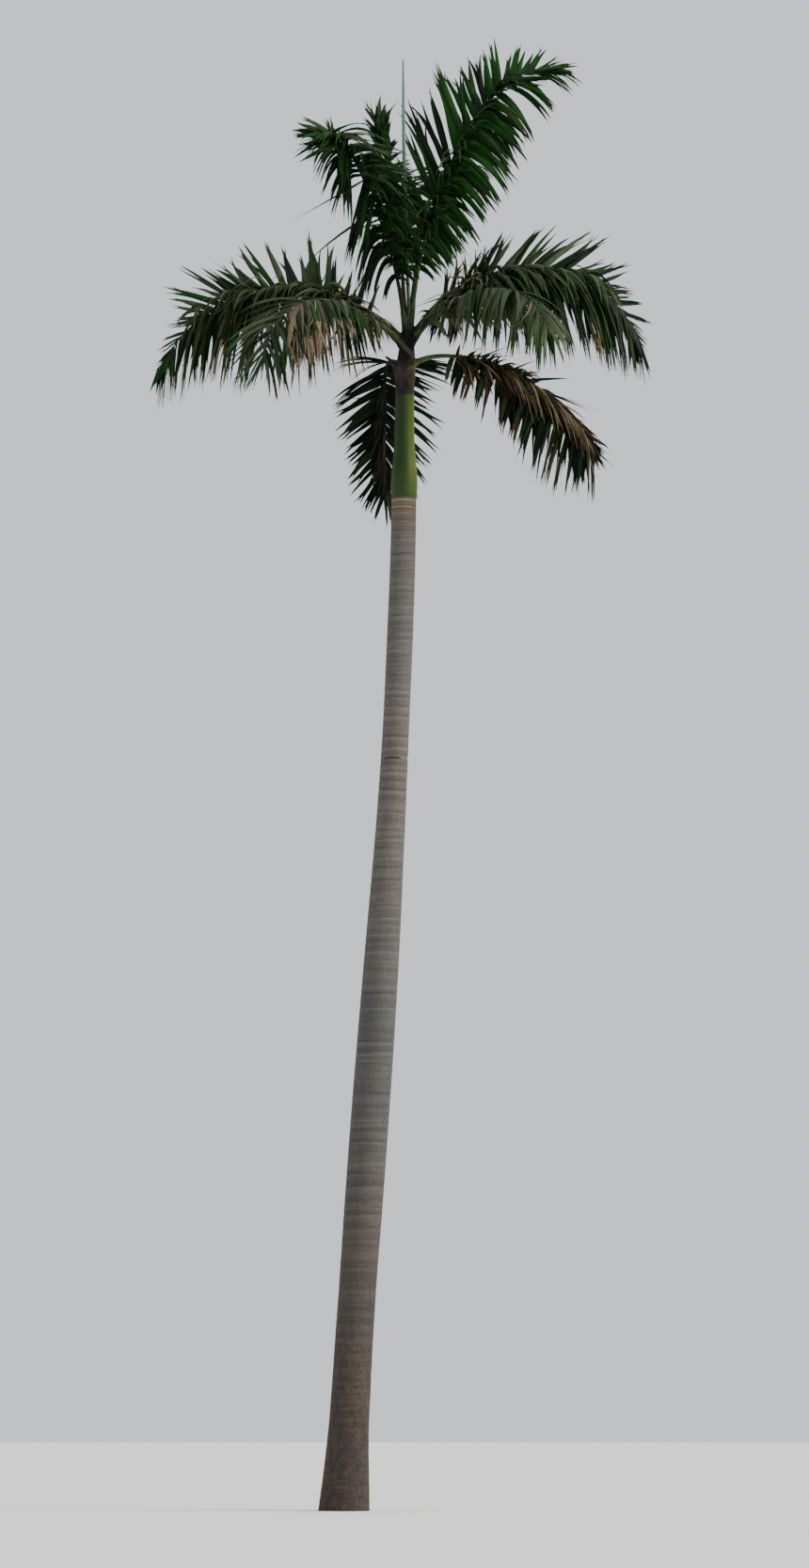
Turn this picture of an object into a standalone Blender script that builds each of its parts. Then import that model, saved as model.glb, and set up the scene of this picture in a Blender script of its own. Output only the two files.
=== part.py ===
# A royal palm: a ringed trunk that leans to +X, a smooth green crownshaft, the brown heart that the
# leaf stalks leave, one unopened spear leaf and ten feathered fronds. For Blender 4.5, in metres, +Z up.
# The origin is the middle of the flat cut at ground level.

import math
import random
from collections import namedtuple

import bmesh
import bpy
from mathutils import Vector
from mathutils.bvhtree import BVHTree

# Driving sizes of the stem
GAP = 0.0003
GROUND = 0.0
TRUNK_TOP = 11.06
CROWNSHAFT_TOP = 12.34
HEART_TOP = 12.98
SPEAR_ROOT = 12.88
SPEAR_BASE = 13.16
SPEAR_TIP = 15.90

# Place of the stem's axis along X at each height: a lean that straightens under the crown
LEAN = (
    (0.0, 0.0), (2.0, 0.120), (4.0, 0.262), (6.0, 0.407), (8.0, 0.536), (10.0, 0.626), (11.1, 0.652),
    (12.3, 0.662), (12.98, 0.695), (13.6, 0.720),
)

# Radius at each height: root flare, slight belly at a third of the height, long taper to the neck
TRUNK_RADII = (
    (GROUND, 0.280), (0.16, 0.265), (0.47, 0.245), (0.87, 0.222), (1.5, 0.211), (2.3, 0.205), (3.5, 0.210),
    (4.5, 0.208), (5.4, 0.200), (6.2, 0.188), (7.0, 0.170), (7.8, 0.155), (8.6, 0.145), (9.5, 0.144),
    (10.3, 0.140), (TRUNK_TOP, 0.136),
)
CROWNSHAFT_RADII = (
    (TRUNK_TOP + GAP, 0.137), (11.16, 0.147), (11.30, 0.144), (11.45, 0.130), (11.62, 0.116), (11.85, 0.109),
    (12.1, 0.106), (CROWNSHAFT_TOP, 0.104),
)
HEART_RADII = (
    (CROWNSHAFT_TOP + GAP, 0.104), (12.46, 0.111), (12.58, 0.104), (12.72, 0.086), (12.86, 0.074),
    (HEART_TOP, 0.062),
)
TRUNK_RINGS = 24
CROWNSHAFT_RINGS = 9
HEART_RINGS = 7
STEM_SIDES = 20
HEART_SIDES = 14
WELD = 1e-6

# Sides of a round rod, beyond the four it has at 0
ROUND = 2
PLAIN = 1
SQUARE = 0

# Unopened spear leaf: radius, and distance along X, at each share of its height
SPEAR_RADII = ((0.0, 0.019), (0.35, 0.021), (0.75, 0.018), (1.0, 0.007))
SPEAR_SWAY = ((0.0, 0.0), (0.3, -0.022), (0.6, -0.046), (1.0, -0.058))
SPEAR_STEPS = 10
SPEAR_RUN = 0.02
SPEAR_SHEATH_FOOT = 0.034
SPEAR_SHEATH_LIP = 0.024

# Feathered fronds
RIB_STEPS = 48
SQUARE_RUN = 0.004
RIB_RADII = ((0.0, 1.0), (0.2, 0.70), (0.5, 0.42), (0.8, 0.24), (1.0, 0.14))
SHEATH_LIP = 1.12
SHEATH_CUTS = 3
STALK_CUTS = 4
INNER_CUTS = 6
OUTER_CUTS = 7

# Leaflets: values along a frond run from its first leaflet to its tip; sections are (share of a leaflet's
# length, share of its greatest width)
LEAFLET_SPACING = 0.112
BARE_END = 0.022
ROW_STAGGER = 0.22
LEAFLET_SPREAD = ((0.0, 80), (0.3, 64), (0.7, 50), (0.9, 38), (1.0, 17))
LEAFLET_LENGTHS = ((0.0, 0.45), (0.12, 0.78), (0.3, 1.0), (0.7, 0.95), (0.9, 0.75), (1.0, 0.55))
LEAFLET_WIDTHS = ((0.0, 0.75), (0.3, 1.0), (0.6, 0.9), (0.85, 0.6), (1.0, 0.3))
STIFF_SECTIONS = ((0.0, 0.20), (0.34, 1.0))
HANGING_SECTIONS = ((0.0, 0.20), (0.26, 1.0), (0.62, 0.72))
HANGING_DROOP = 1.0
BLADE_HALF_WIDTH = 0.040
BLADE_THICKNESS = 0.0085
BLADE_SLENDERNESS = 0.0105
FACE_TILT = 0.3

# How far chance moves one leaflet: degrees, then shares
ROLLS = 5
LIFT_SCATTER = 13
SPREAD_SCATTER = 6
LENGTH_SCATTER = 0.12
DROOP_SCATTER = 0.25
FACE_SCATTER = 0.15

# Where a leaflet would touch another piece, it is turned by (lift, spread) degrees, then shortened as well
CLEARANCE = 0.0015
TURNS = ((0, 0), (12, 0), (-12, 0), (0, 7), (0, -7), (24, 0), (-24, 0), (12, 8), (-12, -8))
REACHES = (1.0, 0.72)

# One frond. height and foot are where its midrib starts on the stem's axis and how far it stands off it;
# azimuth (0 is +X, 90 is +Y) and pitch are (share of the length, degrees) along the midrib; sheath is the
# share where it ends and its radius inside the heart; first and split are the shares where the bare stalk and
# the inner blade end; leaf is the usual leaflet's length; right and left are its two rows of leaflets.
Frond = namedtuple("Frond", "name height foot stalk length azimuth pitch sheath first split leaf right left")

# One row of leaflets: its lift out of the frond's plane in degrees at the base and at the tip, how strongly
# it sinks, how far it opens and its length at the base and at the tip, next to the usual
Row = namedtuple("Row", "base_lift tip_lift droop opening base_size tip_size")
FRONDS = (
    Frond("upper_right", 12.80, 0.030, 0.023, 3.84, ((0, 20), (1, 16)),
          ((0, 84), (0.35, 77), (0.58, 66), (0.75, 52), (0.88, 33), (1, 0)),
          (0.10, 0.034), 0.27, 0.62, 0.78,
          Row(-72, -45, 1.2, 1.3, 1.0, 1.1), Row(70, 45, 0.1, 1.0, 1.1, 0.88)),
    Frond("upper_left", 12.80, 0.030, 0.023, 2.82, ((0, 232), (0.75, 232), (1, 190)),
          ((0, 82), (0.3, 65), (0.7, 54), (0.86, 44), (0.94, 16), (1, -6)),
          (0.13, 0.034), 0.27, 0.60, 0.78,
          Row(-50, 5, 3.0, 1.0, 0.72, 0.9), Row(0, 0, 1.9, 1.0, 0.8, 1.05)),
    Frond("upper_back", 12.80, 0.030, 0.023, 3.05, ((0, 116), (1, 110)),
          ((0, 86), (0.4, 77), (0.8, 60), (1, 52)),
          (0.12, 0.034), 0.28, 0.62, 0.66,
          Row(15, 25, 0.5, 0.8, 0.85, 0.7), Row(15, 25, 0.3, 0.8, 1.0, 0.85)),
    Frond("upper_back_right", 12.80, 0.030, 0.023, 2.85, ((0, 62), (1, 56)),
          ((0, 82), (0.4, 72), (0.75, 44), (1, 0)),
          (0.13, 0.034), 0.30, 0.64, 0.80,
          Row(-15, 0, 1.6, 1.0, 0.75, 1.0), Row(10, 5, 0.9, 1.0, 0.9, 1.0)),
    Frond("left", 12.74, 0.0, 0.031, 3.36, ((0, 163), (1, 163)),
          ((0, 50), (0.3, 20), (0.65, -19), (1, -64)),
          (0.078, 0.064), 0.16, 0.52, 0.82,
          Row(64, 44, 0.1, 0.9, 1.1, 1.05), Row(-60, -45, 2.6, 1.05, 1.6, 1.0)),
    Frond("left_front", 12.72, 0.0, 0.030, 3.00, ((0, 212), (0.45, 218), (0.75, 240), (1, 262)),
          ((0, 47), (0.35, 22), (0.65, -25), (1, -88)),
          (0.078, 0.055), 0.18, 0.52, 0.84,
          Row(5, 0, 1.6, 1.0, 1.0, 1.15), Row(-10, 0, 1.6, 1.0, 1.1, 1.15)),
    Frond("right", 12.74, 0.0, 0.031, 3.40, ((0, 16), (1, 16)),
          ((0, 60), (0.3, 26), (0.65, -18), (1, -64)),
          (0.078, 0.064), 0.15, 0.52, 0.82,
          Row(-55, -40, 2.6, 1.05, 1.15, 1.0), Row(64, 50, 0.1, 0.64, 1.3, 1.05)),
    Frond("right_front", 12.71, 0.0, 0.030, 2.75, ((0, -36), (0.5, -42), (1, -72)),
          ((0, 48), (0.4, 20), (0.7, -28), (1, -88)),
          (0.080, 0.055), 0.18, 0.52, 0.78,
          Row(0, 0, 1.4, 1.0, 0.85, 1.0), Row(5, 0, 1.6, 1.0, 0.9, 1.1)),
    Frond("lower_right", 12.43, 0.0, 0.027, 2.62, ((0, -6), (1, -14)),
          ((0, 76), (0.03, 50), (0.09, 20), (0.2, -2), (0.4, -20), (0.7, -42), (1, -64)),
          (0.072, 0.055), 0.20, 0.56, 0.78,
          Row(-75, -50, 1.6, 1.3, 0.9, 1.36), Row(30, 25, 0.3, 0.8, 0.85, 0.85)),
    Frond("hanging_back", 12.44, 0.045, 0.026, 1.95, ((0, 140), (0.1, 116), (1, 112)),
          ((0, 62), (0.09, 34), (0.18, 0), (0.28, -66), (0.4, -90), (1, -91)),
          (0.090, 0.050), 0.14, 0.60, 0.68,
          Row(5, 5, 0.2, 0.95, 1.2, 0.9), Row(5, 5, 0.2, 0.9, 1.4, 0.9)),
)

BARK = ("bark", (0.19, 0.17, 0.15), 0.85)
SHAFT_GREEN = ("shaft_green", (0.10, 0.20, 0.04), 0.35)
HEART_BROWN = ("heart_brown", (0.10, 0.07, 0.045), 0.75)
SPEAR_GREEN = ("spear_green", (0.16, 0.26, 0.17), 0.45)
STALK_GREEN = ("stalk_green", (0.09, 0.13, 0.04), 0.45)
BLADE_GREEN = ("blade_green", (0.03, 0.08, 0.025), 0.5)


for leftover in list(bpy.data.objects):
    bpy.data.objects.remove(leftover)


def collection(name):
    """Make a collection in the scene."""
    made = bpy.data.collections.new(name)
    bpy.context.scene.collection.children.link(made)
    return made


PALM = collection("royal_palm")
TOOLS = collection("cutters")


def material(name, colour, roughness):
    """Return the Principled material of that name, making it the first time."""
    found = bpy.data.materials.get(name)
    if found:
        return found
    made = bpy.data.materials.new(name)
    made.use_nodes = True
    shader = made.node_tree.nodes["Principled BSDF"]
    shader.inputs["Base Color"].default_value = (*colour, 1.0)
    shader.inputs["Roughness"].default_value = roughness
    shader.inputs["Metallic"].default_value = 0.0
    return made


def read(stations, at):
    """Read a value between (place, value) stations along straight lines."""
    if at <= stations[0][0]:
        return stations[0][1]
    for (x0, y0), (x1, y1) in zip(stations, stations[1:]):
        if at <= x1:
            return y0 + (y1 - y0) * (at - x0) / (x1 - x0)
    return stations[-1][1]


def read_smooth(stations, at):
    """Read a value between (place, value) stations along a curve with no corners."""
    def slope(i):
        (x0, y0), (x1, y1) = stations[max(i - 1, 0)], stations[min(i + 1, len(stations) - 1)]
        return (y1 - y0) / (x1 - x0)

    if not stations[0][0] < at < stations[-1][0]:
        return read(stations, at)
    i = next(k for k in range(len(stations) - 1) if at <= stations[k + 1][0])
    (x0, y0), (x1, y1) = stations[i], stations[i + 1]
    width = x1 - x0
    t = (at - x0) / width
    held = y0 * (1 + 2 * t) * (1 - t) ** 2 + y1 * t * t * (3 - 2 * t)
    return held + width * (slope(i) * t * (1 - t) ** 2 + slope(i + 1) * t * t * (t - 1))


def add_object(name, mesh, finish, group=PALM):
    """Put a mesh in the scene as one named object."""
    made = bpy.data.objects.new(name, mesh)
    group.objects.link(made)
    if finish:
        mesh.materials.clear()
        mesh.materials.append(material(*finish))
    return made


def applied(source):
    """Return the evaluated mesh of an object, welded, and remove the object."""
    view = bpy.context.evaluated_depsgraph_get()
    mesh = bpy.data.meshes.new_from_object(source.evaluated_get(view))
    bpy.data.objects.remove(source)
    bm = bmesh.new()
    bm.from_mesh(mesh)
    bmesh.ops.remove_doubles(bm, verts=bm.verts, dist=WELD)
    bm.to_mesh(mesh)
    bm.free()
    return mesh


def smooth_shaded(mesh, degrees=40):
    """Shade a round piece smooth but for its sharp edges."""
    mesh.shade_smooth()
    mesh.set_sharp_from_angle(angle=math.radians(degrees))


# Stem: each stretch is turned about the Z axis, then its rings are moved along X to follow the lean

def turned(name, radii, rings, sides):
    """Turn a stretch of the stem from its (height, radius) stations, closed by flat ends."""
    low, high = radii[0][0], radii[-1][0]
    heights = [high + (low - high) * k / rings for k in range(rings + 1)]
    outline = [(0.0, high)] + [(read_smooth(radii, z), z) for z in heights] + [(0.0, low)]
    profile = bpy.data.meshes.new(name)
    edges = [(k, k + 1) for k in range(len(outline) - 1)]
    profile.from_pydata([(r, 0.0, z) for r, z in outline], edges, [])
    body = add_object(name, profile, None, TOOLS)
    screw = body.modifiers.new("turn", "SCREW")
    screw.steps = sides
    screw.render_steps = sides
    screw.use_merge_vertices = True
    screw.merge_threshold = WELD
    mesh = applied(body)
    for vertex in mesh.vertices:
        vertex.co.x += read_smooth(LEAN, vertex.co.z)
    return mesh


def build_trunk():
    """Ringed grey trunk from the ground to the foot of the crownshaft."""
    mesh = turned("trunk", TRUNK_RADII, TRUNK_RINGS, STEM_SIDES)
    smooth_shaded(mesh)
    add_object("trunk", mesh, BARK)


def build_crownshaft():
    """Smooth green column of leaf bases, swollen at its foot."""
    mesh = turned("crownshaft", CROWNSHAFT_RADII, CROWNSHAFT_RINGS, STEM_SIDES)
    smooth_shaded(mesh)
    add_object("crownshaft", mesh, SHAFT_GREEN)


def tube(name, points, radii, resolution):
    """Make a closed tapering tube through the points; its ends are square to its first and last runs."""
    curve = bpy.data.curves.new(name, "CURVE")
    curve.dimensions = "3D"
    curve.bevel_depth = 1.0
    curve.bevel_resolution = resolution
    curve.use_fill_caps = True
    spline = curve.splines.new("POLY")
    spline.points.add(len(points) - 1)
    for target, point, radius in zip(spline.points, points, radii):
        target.co = (*point, 1.0)
        target.radius = radius
    holder = bpy.data.objects.new(name, curve)
    TOOLS.objects.link(holder)
    return applied(holder)


def keep_outer_shell(mesh):
    """Keep the shell that holds the most, which fills sealed hollows and drops loose scraps."""
    bm = bmesh.new()
    bm.from_mesh(mesh)
    unseen = set(bm.faces)
    shells = []
    while unseen:
        shell = {unseen.pop()}
        waiting = list(shell)
        while waiting:
            face = waiting.pop()
            near = {f for edge in face.edges for f in edge.link_faces if f in unseen}
            unseen -= near
            shell |= near
            waiting += near
        shells.append(shell)

    def held(shell):
        """Signed volume within a shell, negative for a hollow."""
        fans = ((f.verts[0].co, a.co, b.co) for f in shell for a, b in zip(f.verts[1:-1], f.verts[2:]))
        return sum(p.dot(q.cross(r)) for p, q, r in fans) / 6

    kept = max(shells, key=held)
    bmesh.ops.delete(bm, geom=[f for f in bm.faces if f not in kept], context="FACES")
    bm.to_mesh(mesh)
    bm.free()


def is_closed(mesh):
    """Tell whether every edge has exactly two faces."""
    sides = [0] * len(mesh.edges)
    for loop in mesh.loops:
        sides[loop.edge_index] += 1
    return all(count == 2 for count in sides)


def joined(mesh, pieces, name):
    """Fuse the pieces onto a mesh with one union and return the new mesh."""
    group = bpy.data.collections.new("fused")
    for piece in pieces:
        group.objects.link(bpy.data.objects.new("piece", piece))
    for solver in ("EXACT", "MANIFOLD"):
        body = add_object(name, mesh, None, TOOLS)
        union = body.modifiers.new("fuse", "BOOLEAN")
        union.operation = "UNION"
        union.operand_type = "COLLECTION"
        union.collection = group
        union.solver = solver
        result = applied(body)
        keep_outer_shell(result)
        if is_closed(result):
            break
    for piece in list(group.objects):
        bpy.data.objects.remove(piece)
    bpy.data.collections.remove(group)
    return result


# Midribs: a frond's rib is walked from the stem in short steps along its azimuth and pitch

class Rib:
    """The midrib of one frond as a line that can be asked for a place and its directions."""

    def __init__(self, frond):
        self.frond = frond
        step = frond.length / RIB_STEPS
        turn = math.radians(read(frond.azimuth, 0.0))
        axis = Vector((read_smooth(LEAN, frond.height), 0.0, frond.height))
        self.points = [axis + frond.foot * Vector((math.cos(turn), math.sin(turn), 0.0))]
        for k in range(RIB_STEPS):
            heading = self.heading((k + 0.5) / RIB_STEPS)
            self.points.append(self.points[-1] + heading * step)

    def heading(self, share):
        """Direction of growth at a share of the length."""
        azimuth = math.radians(read(self.frond.azimuth, share))
        pitch = math.radians(read(self.frond.pitch, share))
        level = math.cos(pitch)
        return Vector((level * math.cos(azimuth), level * math.sin(azimuth), math.sin(pitch)))

    def side(self, share):
        """Level direction to the right of the growth."""
        azimuth = math.radians(read(self.frond.azimuth, share))
        return Vector((math.sin(azimuth), -math.cos(azimuth), 0.0))

    def place(self, share):
        """Point on the rib's axis."""
        at = min(max(share, 0.0), 1.0) * RIB_STEPS
        k = min(int(at), RIB_STEPS - 1)
        return self.points[k].lerp(self.points[k + 1], at - k)

    def radius(self, share):
        """Radius of the stalk or rib."""
        return self.frond.stalk * read_smooth(RIB_RADII, share)

    def stretch(self, start, end, cuts):
        """Points and radii from one share to another, with a short square run at both ends."""
        shares = [start + (end - start) * k / cuts for k in range(cuts + 1)]
        points = [self.place(s) for s in shares]
        points[0] += self.heading(start) * GAP / 2
        points[-1] -= self.heading(end) * GAP / 2
        points.insert(1, points[0] + self.heading(start) * SQUARE_RUN)
        points.insert(-1, points[-1] - self.heading(end) * SQUARE_RUN)
        radii = [self.radius(s) for s in shares]
        return points, [radii[0]] + radii + [radii[-1]]


def build_heart(ribs):
    """Brown heart above the crownshaft, with the sheath that each stalk and the spear leaf come out of."""
    body = turned("crown_heart", HEART_RADII, HEART_RINGS, HEART_SIDES)
    sheaths = []
    for rib in ribs:
        end, widest = rib.frond.sheath
        points, radii = rib.stretch(0.0, end, SHEATH_CUTS)
        narrowest = radii[-1] * SHEATH_LIP
        count = len(points) - 1
        radii = [widest + (narrowest - widest) * min(1.0, k / (count - 1)) for k in range(count + 1)]
        sheaths.append(tube("sheath", points, radii, ROUND))
    foot = Vector((read_smooth(LEAN, SPEAR_ROOT), 0.0, SPEAR_ROOT))
    head = spear_point(0.0)
    points = [foot, head - Vector((0.0, 0.0, SPEAR_RUN)), head]
    sheaths.append(tube("sheath", points, [SPEAR_SHEATH_FOOT, SPEAR_SHEATH_LIP, SPEAR_SHEATH_LIP], ROUND))
    mesh = joined(body, sheaths, "crown_heart")
    smooth_shaded(mesh)
    return add_object("crown_heart", mesh, HEART_BROWN)


def spear_point(share):
    """Point on the axis of the spear leaf, which sways a little to -X."""
    height = SPEAR_BASE + (SPEAR_TIP - SPEAR_BASE) * share
    return Vector((read_smooth(LEAN, SPEAR_BASE) + read_smooth(SPEAR_SWAY, share), 0.0, height))


def build_spear():
    """Unopened leaf standing straight out of the heart."""
    foot = spear_point(0.0) + Vector((0.0, 0.0, GAP))
    shares = [k / SPEAR_STEPS for k in range(1, SPEAR_STEPS + 1)]
    points = [foot, foot + Vector((0.0, 0.0, SPEAR_RUN))] + [spear_point(s) for s in shares]
    radii = [read_smooth(SPEAR_RADII, s) for s in [0.0, 0.0] + shares]
    mesh = tube("spear_leaf", points, radii, ROUND)
    smooth_shaded(mesh)
    return add_object("spear_leaf", mesh, SPEAR_GREEN)


# Leaflets: flat three-sided blades in two rows, sunk in the rib, that bend down under their own weight

def leaflet_spine(base, heading, length, droop, sections):
    """Points along a leaflet that starts in a direction and sinks."""
    stops = [section[0] for section in sections] + [1.0]
    points = [base]
    for start, end in zip(stops, stops[1:]):
        heading = (heading - Vector((0.0, 0.0, droop * (end - start)))).normalized()
        points.append(points[-1] + heading * length * (end - start))
    return points


def leaflet_blade(spine, sections, half_width, thickness, flat, grow=0.0):
    """Vertices and faces of one blade: triangles at the root and the wide places, then the tip."""
    vertices = []
    for k, (_, width) in enumerate(sections):
        heading = (spine[k + 1] - spine[max(k - 1, 0)]).normalized()
        normal = flat(heading)
        across = heading.cross(normal)
        half = half_width * width + grow
        low = normal * (thickness / 3 + grow)
        vertices += [
            spine[k] - across * half - low,
            spine[k] + across * half - low,
            spine[k] + 2 * low,
        ]
    vertices.append(spine[-1] + (spine[-1] - spine[-2]).normalized() * grow * 2)
    faces = [(0, 1, 2)]
    for k in range(len(sections) - 1):
        for a, b in ((0, 1), (1, 2), (2, 0)):
            faces.append((3 * k + b, 3 * k + a, 3 * k + 3 + a, 3 * k + 3 + b))
    last = 3 * (len(sections) - 1)
    tip = len(vertices) - 1
    faces += [(last + 1, last, tip), (last + 2, last + 1, tip), (last, last + 2, tip)]
    return vertices, faces


def leaflet_shape(rib, share, hand, turn, reach, dice, grow=0.0):
    """Blade of the leaflet at a share of the rib, on the right (hand 1) or the left (hand -1)."""
    frond = rib.frond
    along = (share - frond.first) / (1 - frond.first)
    row = frond.right if hand > 0 else frond.left
    growth, side = rib.heading(share), rib.side(share)
    up = side.cross(growth)
    middle_lift = row.base_lift + (row.tip_lift - row.base_lift) * along
    lift = math.radians(middle_lift + LIFT_SCATTER * dice[0] + turn[0])
    spread = math.radians(read(LEAFLET_SPREAD, along) * row.opening + SPREAD_SCATTER * dice[1] + turn[1])
    outward = hand * math.cos(lift) * side + math.sin(lift) * up
    heading = math.cos(spread) * growth + math.sin(spread) * outward
    size = row.base_size + (row.tip_size - row.base_size) * along
    length = frond.leaf * size * read(LEAFLET_LENGTHS, along) * (1 + LENGTH_SCATTER * dice[2]) * reach
    sections = HANGING_SECTIONS if row.droop > HANGING_DROOP else STIFF_SECTIONS
    droop = row.droop * (1 + DROOP_SCATTER * dice[3])
    spine = leaflet_spine(rib.place(share), heading, length, droop, sections)
    half_width = BLADE_HALF_WIDTH * read(LEAFLET_WIDTHS, along)
    thickness = max(BLADE_THICKNESS, BLADE_SLENDERNESS * length)

    def flat(ahead):
        face = hand * ahead.cross(growth) + FACE_TILT * up + FACE_SCATTER * dice[4] * side
        return (face - ahead * face.dot(ahead)).normalized()

    return leaflet_blade(spine, sections, half_width, thickness, flat, grow)


class Space:
    """What is already built, as trees of faces that a new leaflet must stay clear of."""

    def __init__(self):
        self.trees = {}

    def add(self, name, mesh):
        """Take the faces of a mesh in, in place of what had that name."""
        corners = [v.co.copy() for v in mesh.vertices]
        self.trees[name] = BVHTree.FromPolygons(corners, [tuple(p.vertices) for p in mesh.polygons])

    def is_clear(self, shape, own):
        """Tell whether a blade touches nothing but the rib that carries it."""
        tree = BVHTree.FromPolygons(*shape)
        return not any(tree.overlap(other) for name, other in self.trees.items() if name != own)


def grow_leaflet(rib, share, hand, dice, space, own):
    """Return the first blade that is clear, turned a little or shortened if need be, or nothing."""
    for reach in REACHES:
        for turn in TURNS:
            wide = leaflet_shape(rib, share, hand, turn, reach, dice, CLEARANCE)
            if space.is_clear(wide, own):
                return leaflet_shape(rib, share, hand, turn, reach, dice)
    return None


def build_blade(rib, name, start, end, rod, space, dice):
    """Fuse the leaflets between two shares onto their stretch of the rib."""
    frond = rib.frond
    margin = BARE_END / frond.length
    run = end - start - 2 * margin
    count = round(run * frond.length / LEAFLET_SPACING)
    blades = []
    for k in range(count):
        for hand in (1, -1):
            place = start + margin + run * (k + 0.5 + ROW_STAGGER * hand) / count
            rolls = [dice.uniform(-1, 1) for _ in range(ROLLS)]
            shape = grow_leaflet(rib, place, hand, rolls, space, name)
            if shape:
                blade = bpy.data.meshes.new("blade")
                blade.from_pydata([tuple(v) for v in shape[0]], [], shape[1])
                blades.append(blade)
    mesh = joined(rod, blades, name)
    return add_object(name, mesh, BLADE_GREEN)


def build_fronds(ribs, space):
    """Stalk, inner blade and outer blade of each frond, 0.3 mm apart end to end."""
    rods = {}
    for rib in ribs:
        frond = rib.frond
        prefix = "frond_" + frond.name
        for part, start, end, cuts, sides in (
            ("stalk", frond.sheath[0], frond.first, STALK_CUTS, PLAIN),
            ("inner", frond.first, frond.split, INNER_CUTS, SQUARE),
            ("outer", frond.split, 1.0, OUTER_CUTS, SQUARE),
        ):
            name = prefix + "_" + part
            mesh = tube(name, *rib.stretch(start, end, cuts), sides)
            space.add(name, mesh)
            rods[name] = mesh
        smooth_shaded(rods[prefix + "_stalk"])
        add_object(prefix + "_stalk", rods[prefix + "_stalk"], STALK_GREEN)
    for number, rib in enumerate(ribs):
        frond = rib.frond
        dice = random.Random(number + 1)
        for part, start, end in (("inner", frond.first, frond.split), ("outer", frond.split, 1.0)):
            name = "frond_" + frond.name + "_" + part
            made = build_blade(rib, name, start, end, rods[name], space, dice)
            space.add(name, made.data)


def build():
    """Build the palm from the ground up."""
    ribs = [Rib(frond) for frond in FRONDS]
    space = Space()
    build_trunk()
    build_crownshaft()
    build_heart(ribs)
    build_spear()
    for made in PALM.objects:
        space.add(made.name, made.data)
    build_fronds(ribs, space)


build()
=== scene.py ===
# Looks of a royal palm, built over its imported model: bark with leaf scars, waxy crownshaft, scurfy heart,
# smooth leaf stalks and some 3,700 fine leaflets, green, greying and dry.

import math
import random
from collections import defaultdict, namedtuple

import bmesh
import bpy
import numpy as np
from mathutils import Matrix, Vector


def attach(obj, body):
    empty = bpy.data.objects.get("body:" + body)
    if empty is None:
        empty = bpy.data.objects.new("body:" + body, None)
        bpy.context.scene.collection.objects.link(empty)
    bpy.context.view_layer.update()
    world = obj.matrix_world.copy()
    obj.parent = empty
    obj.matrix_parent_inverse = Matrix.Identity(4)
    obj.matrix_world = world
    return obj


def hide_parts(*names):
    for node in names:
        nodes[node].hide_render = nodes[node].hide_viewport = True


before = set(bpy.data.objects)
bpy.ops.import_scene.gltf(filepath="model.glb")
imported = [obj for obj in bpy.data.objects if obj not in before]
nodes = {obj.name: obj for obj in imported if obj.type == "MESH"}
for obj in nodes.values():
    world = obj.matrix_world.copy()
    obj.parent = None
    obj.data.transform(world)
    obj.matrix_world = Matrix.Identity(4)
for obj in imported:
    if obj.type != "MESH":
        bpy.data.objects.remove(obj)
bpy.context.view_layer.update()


# The view: a person's eye 70 m away with a long lens, looking up a little at the whole palm. The height of
# the eye, the tilt and the lens were found from the ground line, the crown and the width of the trunk.
eye = Vector((0.6577, -70.0, 1.6))
upward_tilt = 5.15
lens_mm = 147.35


def placed(name, data):
    """A new object in the scene."""
    made = bpy.data.objects.new(name, data)
    bpy.context.scene.collection.objects.link(made)
    return made


camera = placed("view", bpy.data.cameras.new("view"))
camera.location = eye
camera.rotation_euler = (math.radians(90 + upward_tilt), 0.0, 0.0)
camera.data.lens = lens_mm
camera.data.sensor_width = 36.0
camera.data.clip_end = 400.0
bpy.context.scene.camera = camera


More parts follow.
